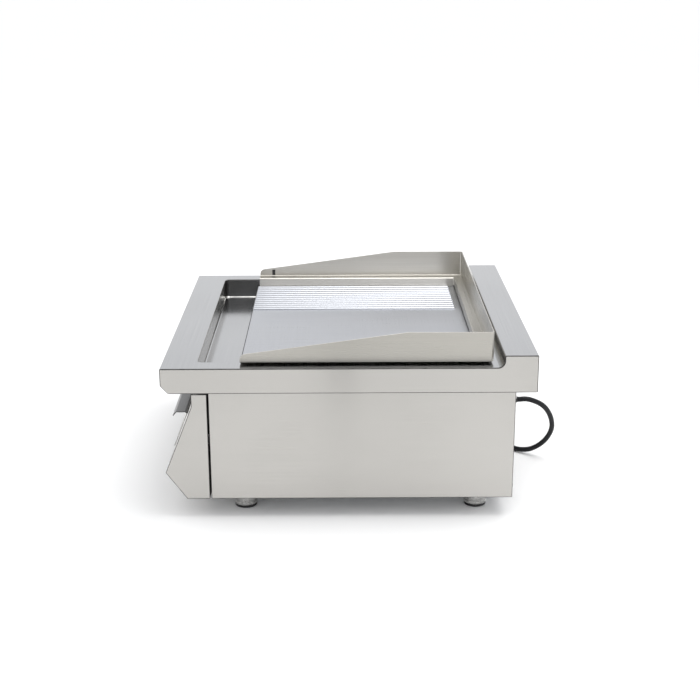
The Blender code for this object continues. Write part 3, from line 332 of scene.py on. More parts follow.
@dataclass(frozen=True)
class BrushedSteel(Finish):
    """Stainless sheet with fine straight scratches, slow tone bands and faint smudges."""

    anisotropy: float = 0.0
    contrast: float = 0.06
    bands: float = 0.03

    def paint(self, tree: Tree) -> None:
        """Scratches run across the front and top and lengthwise on the sides.

        Args:
            tree: the material's tree.
        """
        across = tree.noise((5, 1300, 1300), 3)
        lengthwise = tree.noise((1300, 5, 1300), 3)
        side = tree.facing_sideways()
        scratch = across + (lengthwise - across) * side
        band = tree.noise((3.4, 3.4, 0.25), 1).between(0.32, 0.68)
        smudge = tree.noise((9, 9, 14), 4, (3.1, 1.7, 5.3)).between(0.45, 0.75)
        tone = scratch.between(0.3, 0.7) * self.contrast + band * self.bands
        tone = tone + (1 - self.contrast / 2 - self.bands / 2)
        light = tree.mix(
            tone.between(0.85, 1.15), shade(self.colour, 0.85), shade(self.colour, 1.15)
        )
        roughness = scratch * 0.14 + smudge * 0.02 + (self.roughness - 0.08)
        tree.set(Base_Color=light, Metallic=1.0, Roughness=roughness)
        tree.set(Anisotropic=self.anisotropy, Anisotropic_Rotation=0.25)
        tree.bump(scratch, 0.00003, 0.22)


@dataclass(frozen=True)
class GroundPlate(Finish):
    """Thick ground steel plate: crossed fine grinding, rub marks and a faint heat tint."""

    tint: Colour = (0.50, 0.47, 0.42)

    def paint(self, tree: Tree) -> None:
        """Grinding along Y, finer marks along X, a warmer tone in soft islands.

        Args:
            tree: the material's tree.
        """
        along = tree.noise((1200, 6, 60), 3)
        crossed = tree.noise((8, 900, 60), 2, (7.0, 2.0, 1.0))
        rubbed = tree.noise((13, 5, 5), 4, (2.2, 8.4, 0.0)).between(0.42, 0.72)
        heat = tree.noise((5, 4, 1), 2, (5.5, 0.7, 0.0)).between(0.5, 0.8)
        grind = along * 0.65 + crossed * 0.35
        light = shade(self.colour, 1.05)
        plain = tree.mix(grind.between(0.3, 0.7), shade(self.colour, 0.95), light)
        warm = tree.node(
            "ShaderNodeMix",
            {"data_type": "RGBA"},
            {0: heat * 0.22, 6: plain, 7: (*self.tint, 1.0)},
        )
        tree.set(Base_Color=warm.outputs[2], Metallic=1.0)
        tree.set(Roughness=grind * 0.14 + rubbed * 0.07 + (self.roughness - 0.09))
        tree.bump(grind, 0.00004, 0.25)


@dataclass(frozen=True)
class Spangled(Finish):
    """Galvanised sheet with flat crystal patches."""

    def paint(self, tree: Tree) -> None:
        """Voronoi patches of slightly different brightness and gloss.

        Args:
            tree: the material's tree.
        """
        sockets = {"Vector": tree.places((130, 130, 130)), "Scale": 1.0}
        cells = tree.node("ShaderNodeTexVoronoi", {"feature": "F1"}, sockets)
        grey = tree.node("ShaderNodeRGBToBW", None, {0: cells.outputs["Color"]})
        patch = Number(tree, grey.outputs[0])
        tree.set(
            Base_Color=tree.mix(patch, shade(self.colour, 0.8), shade(self.colour, 1.15)),
            Metallic=1.0,
            Roughness=patch * 0.22 + (self.roughness - 0.1),
        )
        tree.bump(patch, 0.00005, 0.3)


@dataclass(frozen=True)
class DrawnMetal(Finish):
    """Small turned or drawn metal part, a little oxidised."""

    def paint(self, tree: Tree) -> None:
        """Fine pitting and blotches of darker oxide.

        Args:
            tree: the material's tree.
        """
        fine = tree.noise((900, 900, 900), 2)
        oxide = tree.noise((85, 85, 85), 3, (1.0, 4.0, 2.0)).between(0.42, 0.72)
        tree.set(
            Base_Color=tree.mix(oxide, shade(self.colour, 1.06), shade(self.colour, 0.72)),
            Metallic=1.0,
            Roughness=fine * 0.1 + oxide * 0.16 + (self.roughness - 0.08),
        )
        tree.bump(fine, 0.00004, 0.3)


@dataclass(frozen=True)
class Moulded(Finish):
    """Moulded plastic or rubber with a fine spark-eroded grain."""

    grain: float = 1400.0
    depth: float = 0.00005
    gloss: float = 0.0
    reflect: float = 0.5

    def paint(self, tree: Tree) -> None:
        """Fine grain in the bump, slow changes of gloss, dust in the lows.

        Args:
            tree: the material's tree.
        """
        grain = tree.noise((self.grain, self.grain, self.grain), 2)
        slow = tree.noise((45, 45, 45), 3, (4.0, 4.0, 1.0))
        dust = slow.between(0.5, 0.8)
        tree.set(
            Base_Color=tree.mix(dust, self.colour, shade(self.colour, 1.45)),
            Roughness=grain * 0.1 + slow * 0.14 + (self.roughness - 0.12),
            Coat_Weight=self.gloss,
            Specular_IOR_Level=self.reflect,
        )
        tree.bump(grain, self.depth, 0.5)


@dataclass(frozen=True)
class Lens(Finish):
    """Coloured pilot-lamp lens, glossy over a faintly ribbed inside."""

    def paint(self, tree: Tree) -> None:
        """Ring-like ripples under a smooth coat.

        Args:
            tree: the material's tree.
        """
        ripple = tree.noise((500, 500, 500), 1)
        tree.set(
            Base_Color=tree.mix(ripple, shade(self.colour, 0.6), shade(self.colour, 1.25)),
            Roughness=ripple * 0.1 + (self.roughness - 0.04),
            Coat_Weight=1.0,
            Coat_Roughness=0.05,
            Subsurface_Weight=0.2,
            Subsurface_Radius=(0.002, 0.002, 0.002),
        )


@dataclass(frozen=True)
class Wool(Finish):
    """Pressed mineral wool: matted fibres."""

    def paint(self, tree: Tree) -> None:
        """Long thin noise crossed with fine noise.

        Args:
            tree: the material's tree.
        """
        fibre = tree.noise((1500, 90, 700), 4) * 0.6 + tree.noise((90, 1500, 700), 4) * 0.4
        tree.set(
            Base_Color=tree.mix(fibre, shade(self.colour, 0.6), shade(self.colour, 1.25)),
            Roughness=self.roughness,
        )
        tree.bump(fibre, 0.0008, 0.8)


class Finishes:
    """Every finish on the griddle."""

    # The worktop's top and its upright faces are the same steel; the top's colour is painted darker
    # and the sides' lighter, painted light that follows how the light falls on them.
    WORKTOP = BrushedSteel("worktop_steel", (0.414, 0.419, 0.431), 0.16)
    # Painted shade: a darker copy of the worktop steel for the recess walls, standing in for their
    # dark reflection.
    RECESS = BrushedSteel("recess_wall_steel", (0.290, 0.288, 0.286), 0.22)
    SIDES = BrushedSteel("side_steel", (0.494, 0.481, 0.457), 0.24, anisotropy=0.96)
    GUARD = BrushedSteel("guard_steel", (0.455, 0.44, 0.404), 0.30, anisotropy=0.8)
    # Painted light: a lighter copy of the guard steel for the inner faces of its side walls.
    WIPED = BrushedSteel("wiped_guard_steel", (0.690, 0.668, 0.618), 0.32, anisotropy=0.8)
    # Painted shade: a dark copy of the steel for the drawer's lip under the worktop.
    LIP = BrushedSteel("lip_steel", (0.15, 0.15, 0.152), 0.34)
    # Painted shade: a near-black finish on bevels, folds, hems and thin rims that stands in for the
    # dark lines of shade along edges and seams.
    CUT = DrawnMetal("cut_edges", (0.075, 0.073, 0.072), 0.45)
    # Painted highlight: a pale finish on the guard's edges and on the folds at the recess floor.
    BRIGHT = DrawnMetal("deburred_edges", (0.78, 0.77, 0.74), 0.42)
    PLATE = GroundPlate("plate_steel", (0.435, 0.445, 0.472), 0.31)
    # Dark scale on the plate's sides and rounded rim; in the guard's shallow pockets the same
    # finish is painted shade for deep slots.
    SCALE = DrawnMetal("mill_scale", (0.085, 0.083, 0.085), 0.5)
    GALVANISED = Spangled("galvanised", (0.50, 0.51, 0.52), 0.42)
    ZINC = DrawnMetal("zinc_plated", (0.58, 0.58, 0.57), 0.30)
    CUP = DrawnMetal("cup_steel", (0.56, 0.555, 0.54), 0.28)
    SHEATH = DrawnMetal("heater_sheath", (0.16, 0.15, 0.14), 0.48)
    COPPER = DrawnMetal("copper", (0.80, 0.45, 0.28), 0.32)
    BRASS = DrawnMetal("brass", (0.75, 0.58, 0.28), 0.30)
    PINS = DrawnMetal("nickel_pins", (0.66, 0.63, 0.57), 0.22)
    BLACK = Moulded("black_plastic", (0.022, 0.022, 0.024), 0.36, gloss=0.15)
    RUBBER = Moulded("black_rubber", (0.016, 0.016, 0.017), 0.48, grain=900, depth=0.00008)
    CORD = Moulded(
        "cord_rubber", (0.009, 0.0095, 0.011), 0.46, grain=700, depth=0.00006, reflect=0.22
    )
    RED = Moulded("red_plastic", (0.62, 0.03, 0.02), 0.30, gloss=0.3)
    CERAMIC = Finish("white_ceramic", (0.78, 0.76, 0.70), 0.55)
    WOOL = Wool("mineral_wool", (0.62, 0.60, 0.52), 0.95)
    GREEN = Lens("green_lens", (0.03, 0.42, 0.10), 0.16)
    AMBER = Lens("amber_lens", (0.80, 0.28, 0.02), 0.16)
    DIAL = DrawnMetal("dial_face", (0.68, 0.68, 0.68), 0.34)
    INK = Moulded("black_ink", (0.02, 0.02, 0.02), 0.45)
    WHITE_INK = Moulded("white_ink", (0.80, 0.80, 0.78), 0.45)
    RED_INK = Moulded("red_ink", (0.55, 0.03, 0.02), 0.42)


# -------------------------------------------------------------------- surfaces


@dataclass
class Surface:
    """Points with faces in blocks; a block is a face array and the number of its finish."""

    points: Array
    blocks: list[tuple[Array, int]]

    @staticmethod
    def grid(
        points: Array, keep: Array | None = None, loop: bool = False, finish: int = 0
    ) -> "Surface":
        """Quads between neighbouring rows and columns of a grid of points.

        Args:
            points: (rows, columns, 3); a face's normal is column direction x row direction.
            keep: (rows - 1, columns - 1), False where a quad is left out.
            loop: True joins the last column to the first.
            finish: number of the finish.

        Returns:
            The surface.
        """
        rows, columns = points.shape[:2]
        index = np.arange(rows * columns).reshape(rows, columns)
        if loop:
            index = np.concatenate([index, index[:, :1]], axis=1)
        quads = np.stack([index[:-1, :-1], index[:-1, 1:], index[1:, 1:], index[1:, :-1]], axis=-1)
        chosen = quads.reshape(-1, 4) if keep is None else quads[keep]
        return Surface(points.reshape(-1, 3), [(chosen, finish)])

    @staticmethod
    def turned(profile: Array | Sequence, segments: int = 64, finish: int = 0) -> "Surface":
        """A profile of (radius, height) carried round Z: (r cos a, r sin a, h).

        Args:
            profile: runs from the bottom, up the outer side, to the top.
            segments: steps of the full turn.
            finish: number of the finish.

        Returns:
            The surface, its poles closed where the radius is 0.
        """
        profile = np.asarray(profile, float)
        angle = np.linspace(0, 2 * np.pi, segments, endpoint=False)
        radius, height = profile[:, :1], profile[:, 1:]
        points = np.stack(
            [radius * np.cos(angle), radius * np.sin(angle), height + 0 * angle], axis=-1
        )
        return Surface.grid(points, loop=True, finish=finish)

    @staticmethod
    def facet(loop: Array, finish: int = 0) -> "Surface":
        """One flat face on a loop of points that runs anticlockwise round its normal."""
        return Surface(loop, [(np.arange(len(loop))[None, :], finish)])

    def placed(self, matrix: Matrix) -> "Surface":
        """The surface with a placement applied to its points."""
        turn = np.array(matrix, float)
        return Surface(self.points @ turn[:3, :3].T + turn[:3, 3], self.blocks)

    def flipped(self) -> "Surface":
        """The surface with its faces turned over."""
        return Surface(self.points, [(faces[:, ::-1], finish) for faces, finish in self.blocks])

    def mirrored(self) -> "Surface":
        """The surface mirrored in X, its faces still pointing outwards."""
        return Surface(self.points * np.array([-1.0, 1.0, 1.0]), self.flipped().blocks)

    def __add__(self, other: "Surface") -> "Surface":
        """Both surfaces as one.

        Args:
            other: the second surface.

        Returns:
            The joined surface.
        """
        shift = len(self.points)
        moved = [(faces + shift, finish) for faces, finish in other.blocks]
        return Surface(np.concatenate([self.points, other.points]), self.blocks + moved)

    def mesh(self, name: str) -> bpy.types.Mesh:
        """The surface as a mesh with its seams merged and empty faces dissolved.

        Args:
            name: name of the mesh.

        Returns:
            The mesh.
        """
        faces = [row for block, _ in self.blocks for row in block.tolist()]
        numbers = np.concatenate([np.full(len(block), finish) for block, finish in self.blocks])
        mesh = bpy.data.meshes.new(name)
        mesh.from_pydata(self.points.tolist(), [], faces)
        mesh.polygons.foreach_set("material_index", numbers.astype(np.int32))
        merge(mesh)
        return mesh


def merge(
    mesh: bpy.types.Mesh, flat: float = 0.0, recalculate: bool = False, rim: float = 0.0
) -> None:
    """Merge a mesh's doubles and dissolve faces with no area.

    Args:
        mesh: changed in place.
        flat: angle in degrees up to which neighbouring faces become one; 0 leaves them.
        recalculate: True points every face outwards.
        rim: width of a border of finish 1 drawn on large faces that look sideways; it carries a
            dark painted shade line along their edges.
    """
    made = bmesh.new()
    made.from_mesh(mesh)
    bmesh.ops.remove_doubles(made, verts=made.verts, dist=2e-6)
    bmesh.ops.dissolve_degenerate(made, edges=made.edges, dist=1e-6)
    if flat:
        bmesh.ops.dissolve_limit(
            made, angle_limit=math.radians(flat), verts=made.verts, edges=made.edges
        )
    if recalculate:
        bmesh.ops.recalc_face_normals(made, faces=made.faces)
    if rim:
        wide = [f for f in made.faces if abs(f.normal.x) > 0.9 and f.calc_area() > 0.003]
        ring = bmesh.ops.inset_individual(made, faces=wide, thickness=rim, use_even_offset=True)
        for face in ring["faces"]:
            face.material_index = 1
    made.to_mesh(mesh)
    made.free()


@dataclass(frozen=True)
class Wall:
    """How an open sheet gets its thickness and how edges are softened."""

    thickness: float = 0.0
    edge: float = 0.0
    segments: int = 2
    sharp: float = 38.0
    edge_finish: int = -1
    pockets: Surface | None = None
    back_finish: int = 0

    def apply(self, obj: bpy.types.Object) -> None:
        """Thicken behind the faces, sink pockets, round sharp edges, and bake it all.

        Args:
            obj: the piece, changed in place.
        """
        obj.data.shade_smooth()
        if self.thickness:
            solid = obj.modifiers.new("thickness", "SOLIDIFY")
            solid.thickness = self.thickness
            solid.offset = -1.0
            solid.use_even_offset = True
            solid.material_offset = self.back_finish
        cutter = None
        if self.pockets:
            cutter = bpy.data.objects.new("cutter", self.pockets.mesh("cutter"))
            bpy.context.scene.collection.objects.link(cutter)
            for slot in obj.material_slots:
                cutter.data.materials.append(slot.material)
            cut = obj.modifiers.new("pockets", "BOOLEAN")
            cut.object = cutter
            cut.solver = "EXACT"
        if self.edge:
            bevel = obj.modifiers.new("edges", "BEVEL")
            bevel.width = self.edge
            bevel.segments = self.segments
            bevel.limit_method = "ANGLE"
            bevel.angle_limit = math.radians(40)
            bevel.material = self.edge_finish
            even = obj.modifiers.new("even_shading", "WEIGHTED_NORMAL")
            even.weight = 100
            even.keep_sharp = False
        if self.thickness or self.edge:
            bpy.context.view_layer.update()
            graph = bpy.context.evaluated_depsgraph_get()
            baked = bpy.data.meshes.new_from_object(obj.evaluated_get(graph))
            obj.modifiers.clear()
            rough, obj.data = obj.data, baked
            bpy.data.meshes.remove(rough)
            obj.data.name = obj.name
        if cutter:
            bpy.data.objects.remove(cutter)
        if not self.edge:
            obj.data.set_sharp_from_angle(angle=math.radians(self.sharp))


@dataclass(frozen=True)
class Place:
    """What a piece rides on, the record's slot it belongs to, and the nodes it stands for."""

    body: str
    slot: str
    nodes: tuple[str, ...] = ()


def make_piece(
    name: str,
    shape: Surface | bpy.types.Mesh,
    finishes: Sequence[Finish],
    place: Place,
    wall: Wall = Wall(),
) -> bpy.types.Object:
    """Put a finished piece in the scene.

    Args:
        name: the piece's name.
        shape: its surface, or a mesh in the row frame.
        finishes: finish for each number that the shape's faces carry.
        place: body, slot and replaced nodes.
        wall: thickness and edge softening.

    Returns:
        The object, at the origin with its place in its mesh.
    """
    mesh = shape.mesh(name) if isinstance(shape, Surface) else shape
    obj = bpy.data.objects.new(name, mesh)
    bpy.context.scene.collection.objects.link(obj)
    for finish in finishes:
        mesh.materials.append(finish.material())
    wall.apply(obj)
    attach(obj, place.body)
    if place.nodes:
        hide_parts(*place.nodes)
    LOG.info("%s: %d faces", name, len(obj.data.polygons))
    return obj


def soften(
    node: str, finish: Finish, slot: str, edge: float, cut: Finish | None = None
) -> bpy.types.Object:
    """Replace a CAD node by a merged copy of its mesh with softly rounded edges.

    Args:
        node: the CAD node.
        finish: its finish.
        slot: the record's slot.
        edge: width of the rounding.
        cut: finish of the rounded edges and of a thin rim on large sideways faces, where it
            differs; the panels use it for a dark painted shade line.

    Returns:
        The new piece.
    """
    mesh = frame["nodes"][node].data.copy()
    mesh.materials.clear()
    merge(mesh, flat=0.5, recalculate=True, rim=0.0009 if cut else 0.0)
    place = Place(frame["nodes"][node]["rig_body"], slot, (node,))
    wall = Wall(edge=edge, sharp=32, edge_finish=1 if cut else -1)
    finishes = [finish, cut] if cut else [finish]
    return make_piece(node + "_finished", mesh, finishes, place, wall)


def face_normals(mesh: bpy.types.Mesh) -> Array:
    """The mesh's face normals, (n, 3).

    Args:
        mesh: the mesh to read.

    Returns:
        One unit normal for each face.
    """
    normals = np.zeros(len(mesh.polygons) * 3, np.float32)
    mesh.polygons.foreach_get("normal", normals)
    return normals.reshape(-1, 3)


def number_faces(mesh: bpy.types.Mesh, numbers: Array) -> None:
    """Write the number of each face's finish."""
    mesh.polygons.foreach_set("material_index", numbers.astype(np.int32))


def dress(node: str, finish: Finish) -> bpy.types.Object:
    """Give a CAD node that keeps its own shape its finish.

    Args:
        node: the CAD node.
        finish: its finish.

    Returns:
        The node's object.
    """
    obj = frame["nodes"][node]
    obj.data.materials.clear()
    obj.data.materials.append(finish.material())
    return obj


def rounded(
    corners: Sequence[tuple[float, float]], radii: Sequence[float], steps: int = 5
) -> Array:
    """An open line whose inner corners are arcs tangent to both neighbours.

    With a and b the unit vectors from a corner to its neighbours and h half the angle between
    them, the arc's centre is corner + (a + b) / |a + b| * r / sin h, and it starts at
    corner + a * r / tan h.

    Args:
        corners: points of the line.
        radii: one radius for each inner corner.
        steps: steps of each arc.

    Returns:
        (n, 2) points.
    """
    places = np.asarray(corners, float)
    parts = [places[:1]]
    for before, here, after, radius in zip(places, places[1:], places[2:], radii):
        back = (before - here) / np.linalg.norm(before - here)
        ahead = (after - here) / np.linalg.norm(after - here)
        half = math.acos(float(np.clip(back @ ahead, -1, 1))) / 2
        both = (back + ahead) / np.linalg.norm(back + ahead)
        centre = here + both * radius / math.sin(half)
        first = here + back * radius / math.tan(half) - centre
        last = here + ahead * radius / math.tan(half) - centre
        sweep = math.pi - 2 * half
        share = np.linspace(0, 1, steps + 1)[:, None]
        turn = np.sin((1 - share) * sweep) * first + np.sin(share * sweep) * last
        parts.append(centre + turn / math.sin(sweep))
    parts.append(places[-1:])
    return np.concatenate(parts)


def normals_of(line: Array) -> Array:
    """Unit normals of an open line, to its left, from the steps on both sides of each point.

    Args:
        line: (n, 2) points.

    Returns:
        (n, 2) normals.
    """
    step = np.gradient(line, axis=0)
    turned = np.stack([-step[:, 1], step[:, 0]], axis=1)
    return turned / np.linalg.norm(turned, axis=1, keepdims=True)


def lengths_of(line: Array) -> Array:
    """Distance along an open line at each of its points."""
    steps = np.linalg.norm(np.diff(line, axis=0), axis=1)
    return np.concatenate([[0.0], np.cumsum(steps)])


def even_line(line: Array, count: int) -> Array:
    """The same line with its points spread evenly along it.

    Args:
        line: (n, 2) or (n, 3) points.
        count: points of the new line.

    Returns:
        (count, 2) or (count, 3) points.
    """
    along = lengths_of(line)
    even = np.linspace(0, along[-1], count)
    return np.stack([np.interp(even, along, values) for values in line.T], axis=1)


def on_console(x: float, drop: float) -> Matrix:
    """Frame on the console's sloped face, its Z out of the face and its Y up the slope.

    Args:
        x: place across the console.
        drop: distance down the slope.

    Returns:
        The placement.
    """
    place = SLOPE_TOP - SLOPE_UP * drop
    place.x = x
    turn = Matrix((Vector((1, 0, 0)), SLOPE_UP, SLOPE_OUT)).transposed()
    return Matrix.Translation(place) @ turn.to_4x4()


def facing(place: Sequence[float], direction: Point) -> Matrix:
    """Frame at the place with its Z along the direction."""
    turn = Vector(direction).to_track_quat("Z", "Y").to_matrix()
    return Matrix.Translation(Vector(place)) @ turn.to_4x4()


# ------------------------------------------------------------- sheet-metal body


@dataclass(frozen=True)
class Fold:
    """One side of a pressed recess, as lines that run from the strip down to the floor."""

    lip: float = 0.0020
    root: float = 0.0025
    steps: int = 4

    def lines(self) -> tuple[Array, Array, Array]:
        """The fold's cross-section.

        Returns:
            Distance of each line inwards from the wall, its drop below the strip, and the
            share of the recess depth that is added to that drop. A lip arc, the wall and a
            root arc: lip (1 - cos a), then depth - root + root sin a.
        """
        angle = np.radians(np.linspace(0, 90, self.steps + 1))
        inward = np.concatenate([-self.lip * (1 - np.sin(angle)), self.root * (1 - np.cos(angle))])
        drop = np.concatenate(
            [self.lip * (1 - np.cos(angle)), -self.root * (1 - np.sin(angle))]
        )
        share = np.concatenate([0 * angle, 0 * angle + 1])
        return inward, drop, share


@dataclass
class Worktop:
    """Pressed worktop: skirts, raised rear deck, plate recess, grease trough and drain."""

    half_width: float = 0.300
    half_depth: float = 0.300
    skirt_bottom: float = 0.2170
    chamfer: tuple[float, float] = (0.0117, 0.0126)
    chamfer_radius: float = 0.003
    deck: float = 0.2783
    deck_front: float = 0.246
    step_radius: float = 0.011
    edge_radius: float = 0.0022
    recess_x: float = 0.265
    recess_y: tuple[float, float] = (-0.243, 0.222)
    corner: float = 0.008
    trough_rear: float = -0.176
    trough_depth: float = 0.0360
    ledge_depth: float = 0.0278
    window_x: float = 0.245
    window_y: tuple[float, float] = (-0.168, 0.202)
    drain: tuple[float, float] = (0.172, -0.2095)
    drain_radius: float = 0.0105
    drain_edge: float = 0.0017
    drain_lip: float = 0.0025
    drain_patch: float = 0.017
    drain_steps: int = 8
    hem: float = 0.0009
    fold: Fold = Fold()

    def _outline(self) -> tuple[Array, Array]:
        """The worktop's side line before and behind the recess, as (y, z) points.

        Returns:
            The line from the foot to the recess, and from the recess to the other foot.
        """
        deep, high = self.chamfer
        front = [
            (-self.half_depth + deep, self.skirt_bottom),
            (-self.half_depth, self.skirt_bottom + high),
            (-self.half_depth, TOP),
            (0.0, TOP),
        ]
        rear = [
            (0.0, TOP),
            (self.deck_front, TOP),
            (self.deck_front, self.deck),
            (self.half_depth, self.deck),
            (self.half_depth, self.skirt_bottom),
        ]
        edge = self.edge_radius
        ahead = rounded(front, (self.chamfer_radius, edge))[:-1]
        behind = rounded(rear, (self.step_radius, edge, edge), 8)[1:]
        return ahead, behind

    def _recess_lines(
        self, low: float, high: float, between: Sequence[float]
    ) -> tuple[Array, Array]:
        """Lines across the recess in one direction.

        Args:
            low: the first wall.
            high: the second wall.
            between: floor lines.

        Returns:
            Place of each line and how far into the fold it is, most on the floor.
        """
        inward, _, _ = self.fold.lines()
        count = len(inward)
        near = low + inward
        far = high - inward[::-1]
        soft = np.linspace(self.fold.root, self.corner, 4)[1:]
        floor = np.concatenate([low + soft, np.sort(np.asarray(between)), high - soft[::-1]])
        place = np.concatenate([near, floor, far])
        steps = np.arange(count)
        return place, np.concatenate([steps, np.full(len(floor), count), steps[::-1]])

    def _trough_step(self) -> tuple[Array, Array]:
        """The rise from the trough to the ledge, as two small arcs.

        Returns:
            Places along Y and the depth at each.
        """
        root, lip = self.fold.root, self.fold.lip
        rise = np.radians(np.linspace(0, 90, 5))
        low = self.trough_rear - root * (1 - np.sin(rise))
        high = self.trough_rear + lip * (1 - np.cos(rise))
        places = np.concatenate([low, high])
        low_depth = self.trough_depth - root * (1 - np.cos(rise))
        high_depth = self.ledge_depth + lip * (1 - np.sin(rise))
        depths = np.concatenate([low_depth, high_depth])
        return places + np.linspace(0, 1e-7, len(places)), depths

    def surface(self) -> Surface:
        """The whole sheet on one grid of lines across and along it.

        A point's height is the strip's height less the drop of the outer of its two lines, so
        that the folds meet on the diagonals; inside a corner block the point is moved from the
        square ring max(a, b) to the circle of that radius, at the angle 45 degrees * b / a.

        Returns:
            The sheet, its faces up and outwards.
        """
        x, across, y, along, outline, normal = self._lines()
        count = len(self.fold.lines()[0])
        level = np.minimum(across[None, :], along[:, None])
        _, drop, share = self.fold.lines()
        drops = np.append(drop, 0.0)[np.clip(level, 0, count)]
        shares = np.append(share, 1.0)[np.clip(level, 0, count)]
        depth = np.interp(y, *self._trough_step())[:, None] * np.ones_like(x)[None, :]
        inside = level >= 0
        height = np.where(inside, -(drops + shares * depth), 0.0)
        px, py = self._round_corners(np.broadcast_to(x, level.shape), y[:, None] + 0 * x[None, :])
        top = np.stack([px, py, outline[:, 1:] + height], axis=-1)
        flat = (np.abs(normal[:, 0]) < 1e-6)[:, None] & (outline[:, 1:] < TOP + 1e-6)
        line_y, line_z = (np.broadcast_to(outline[:, axis, None], px.shape) for axis in (0, 1))
        base = np.stack([px, line_y, line_z], axis=-1)
        top = np.where(flat[..., None] & np.ones_like(px, bool)[..., None], top, base)
        left, right = self._side_folds(outline, normal)
        points = np.concatenate([left, top, right], axis=1)
        keep = self._kept(points)
        faces = Surface.grid(points, keep)
        return faces + self._drain_flange()

    def _lines(self) -> tuple[Array, Array, Array, Array, Array, Array]:
        """Places, fold levels and outline of the grid's lines; level -1 is outside.

        Returns:
            Places and levels across X, places and levels along Y, the outline and its normals.
        """
        patch = np.linspace(-self.drain_patch, self.drain_patch, self.drain_steps + 1)
        window = np.array([-self.window_x, self.window_x])
        middle = np.concatenate([window, [0.0], self.drain[0] + patch])
        x, across = self._recess_lines(-self.recess_x, self.recess_x, middle)
        edge = self.half_width - self.edge_radius
        x = np.concatenate([[-edge], x, [edge]])
        across = np.concatenate([[-1], across, [-1]])
        step, _ = self._trough_step()
        floor = np.concatenate([self.drain[1] + patch, step, self.window_y, [-0.08, 0.02, 0.11]])
        y, along = self._recess_lines(*self.recess_y, floor)
        ahead, behind = self._outline()
        outline = np.concatenate([ahead, np.stack([y, 0 * y + TOP], axis=1), behind])
        normal = normals_of(outline)
        normal[len(ahead) : len(ahead) + len(y)] = (0.0, 1.0)
        normal[0] = (-1.0, 0.0)
        along = np.concatenate([np.full(len(ahead), -1), along, np.full(len(behind), -1)])
        return x, across, outline[:, 0].copy(), along, outline, normal

    def _round_corners(self, x: Array, y: Array) -> tuple[Array, Array]:
        """Move points in the recess's four corner blocks from square rings to round ones.

        Args:
            x: (rows, columns) places.
            y: (rows, columns) places.

        Returns:
            The moved x and y.
        """
        centre_x = self.recess_x - self.corner
        low, high = self.recess_y[0] + self.corner, self.recess_y[1] - self.corner
        a = np.maximum(np.abs(x) - centre_x, 0)
        b = np.maximum(np.maximum(low - y, y - high), 0)
        ring = np.maximum(a, b)
        small = np.minimum(a, b)
        angle = np.pi / 4 * small / np.maximum(ring, 1e-9)
        long_side, short_side = ring * np.cos(angle), ring * np.sin(angle)
        round_a = np.where(a >= b, long_side, short_side)
        round_b = np.where(a >= b, short_side, long_side)
        limit = self.corner + self.fold.lip
        weight = np.where((a > 0) & (b > 0), np.clip(1 - (ring - limit) / 0.006, 0, 1), 0)
        a2, b2 = a + (round_a - a) * weight, b + (round_b - b) * weight
        new_x = np.where(a > 0, np.sign(x) * (centre_x + a2), x)
        new_y = np.where(y < low, low - b2, np.where(y > high, high + b2, y))
        return new_x, new_y

    def _side_folds(self, outline: Array, normal: Array) -> tuple[Array, Array]:
        """The folds and skirts at both sides.

        At angle a of the fold a point is at x = half width - r + r sin a and at the outline
        less its normal times r (1 - cos a). Below the fold the skirt runs down to its foot,
        whose points move on as fast as the outline goes back or climbs, so no lines cross.

        Args:
            outline: (n, 2) points of the side line.
            normal: its (n, 2) normals.

        Returns:
            The left and right blocks of points.
        """
        radius = self.edge_radius
        angle = np.radians(np.linspace(90, 0, 6))[:-1]
        lift = (radius * (1 - np.cos(angle)))[None, :, None]
        fold = outline[:, None, :] - normal[:, None, :] * lift
        x = self.half_width - radius + radius * np.sin(angle)
        x = np.broadcast_to(x, fold.shape[:2])
        inset = fold[:, 0]
        rise = np.maximum(inset[:, 1] - (TOP - radius), 0)
        foot_y = np.maximum.accumulate(inset[:, 0] + 0.3 * rise)
        foot_y = np.minimum(foot_y, inset[-1, 0])
        foot = np.stack([foot_y, np.full(len(foot_y), self.skirt_bottom)], axis=1)
        share = self.hem / np.maximum(inset[:, 1:] - self.skirt_bottom, self.hem)
        above = foot + (inset - foot) * share
        folded = np.concatenate([foot[:, None], above[:, None], fold], axis=1)
        x = np.concatenate([np.full((len(x), 2), self.half_width), x], axis=1)
        right = np.concatenate([x[..., None], folded], axis=-1)[:, ::-1]
        left = right[:, ::-1] * np.array([-1.0, 1.0, 1.0])
        return left, right

    def _kept(self, points: Array) -> Array:
        """False for the quads over the plate's window and over the drain's patch.

        Args:
            points: the sheet's grid.

        Returns:
            True where a quad stays.
        """
        corners = points[:-1, :-1], points[1:, 1:]
        middle = (corners[0] + corners[1]) / 2
        x, y, z = middle[..., 0], middle[..., 1], middle[..., 2]
        low = z < TOP - self.ledge_depth / 2
        window = (np.abs(x) < self.window_x) & (y > self.window_y[0]) & (y < self.window_y[1])
        reach = self.drain_patch
        drain = (np.abs(x - self.drain[0]) < reach) & (np.abs(y - self.drain[1]) < reach)
        return ~(low & (window | drain))

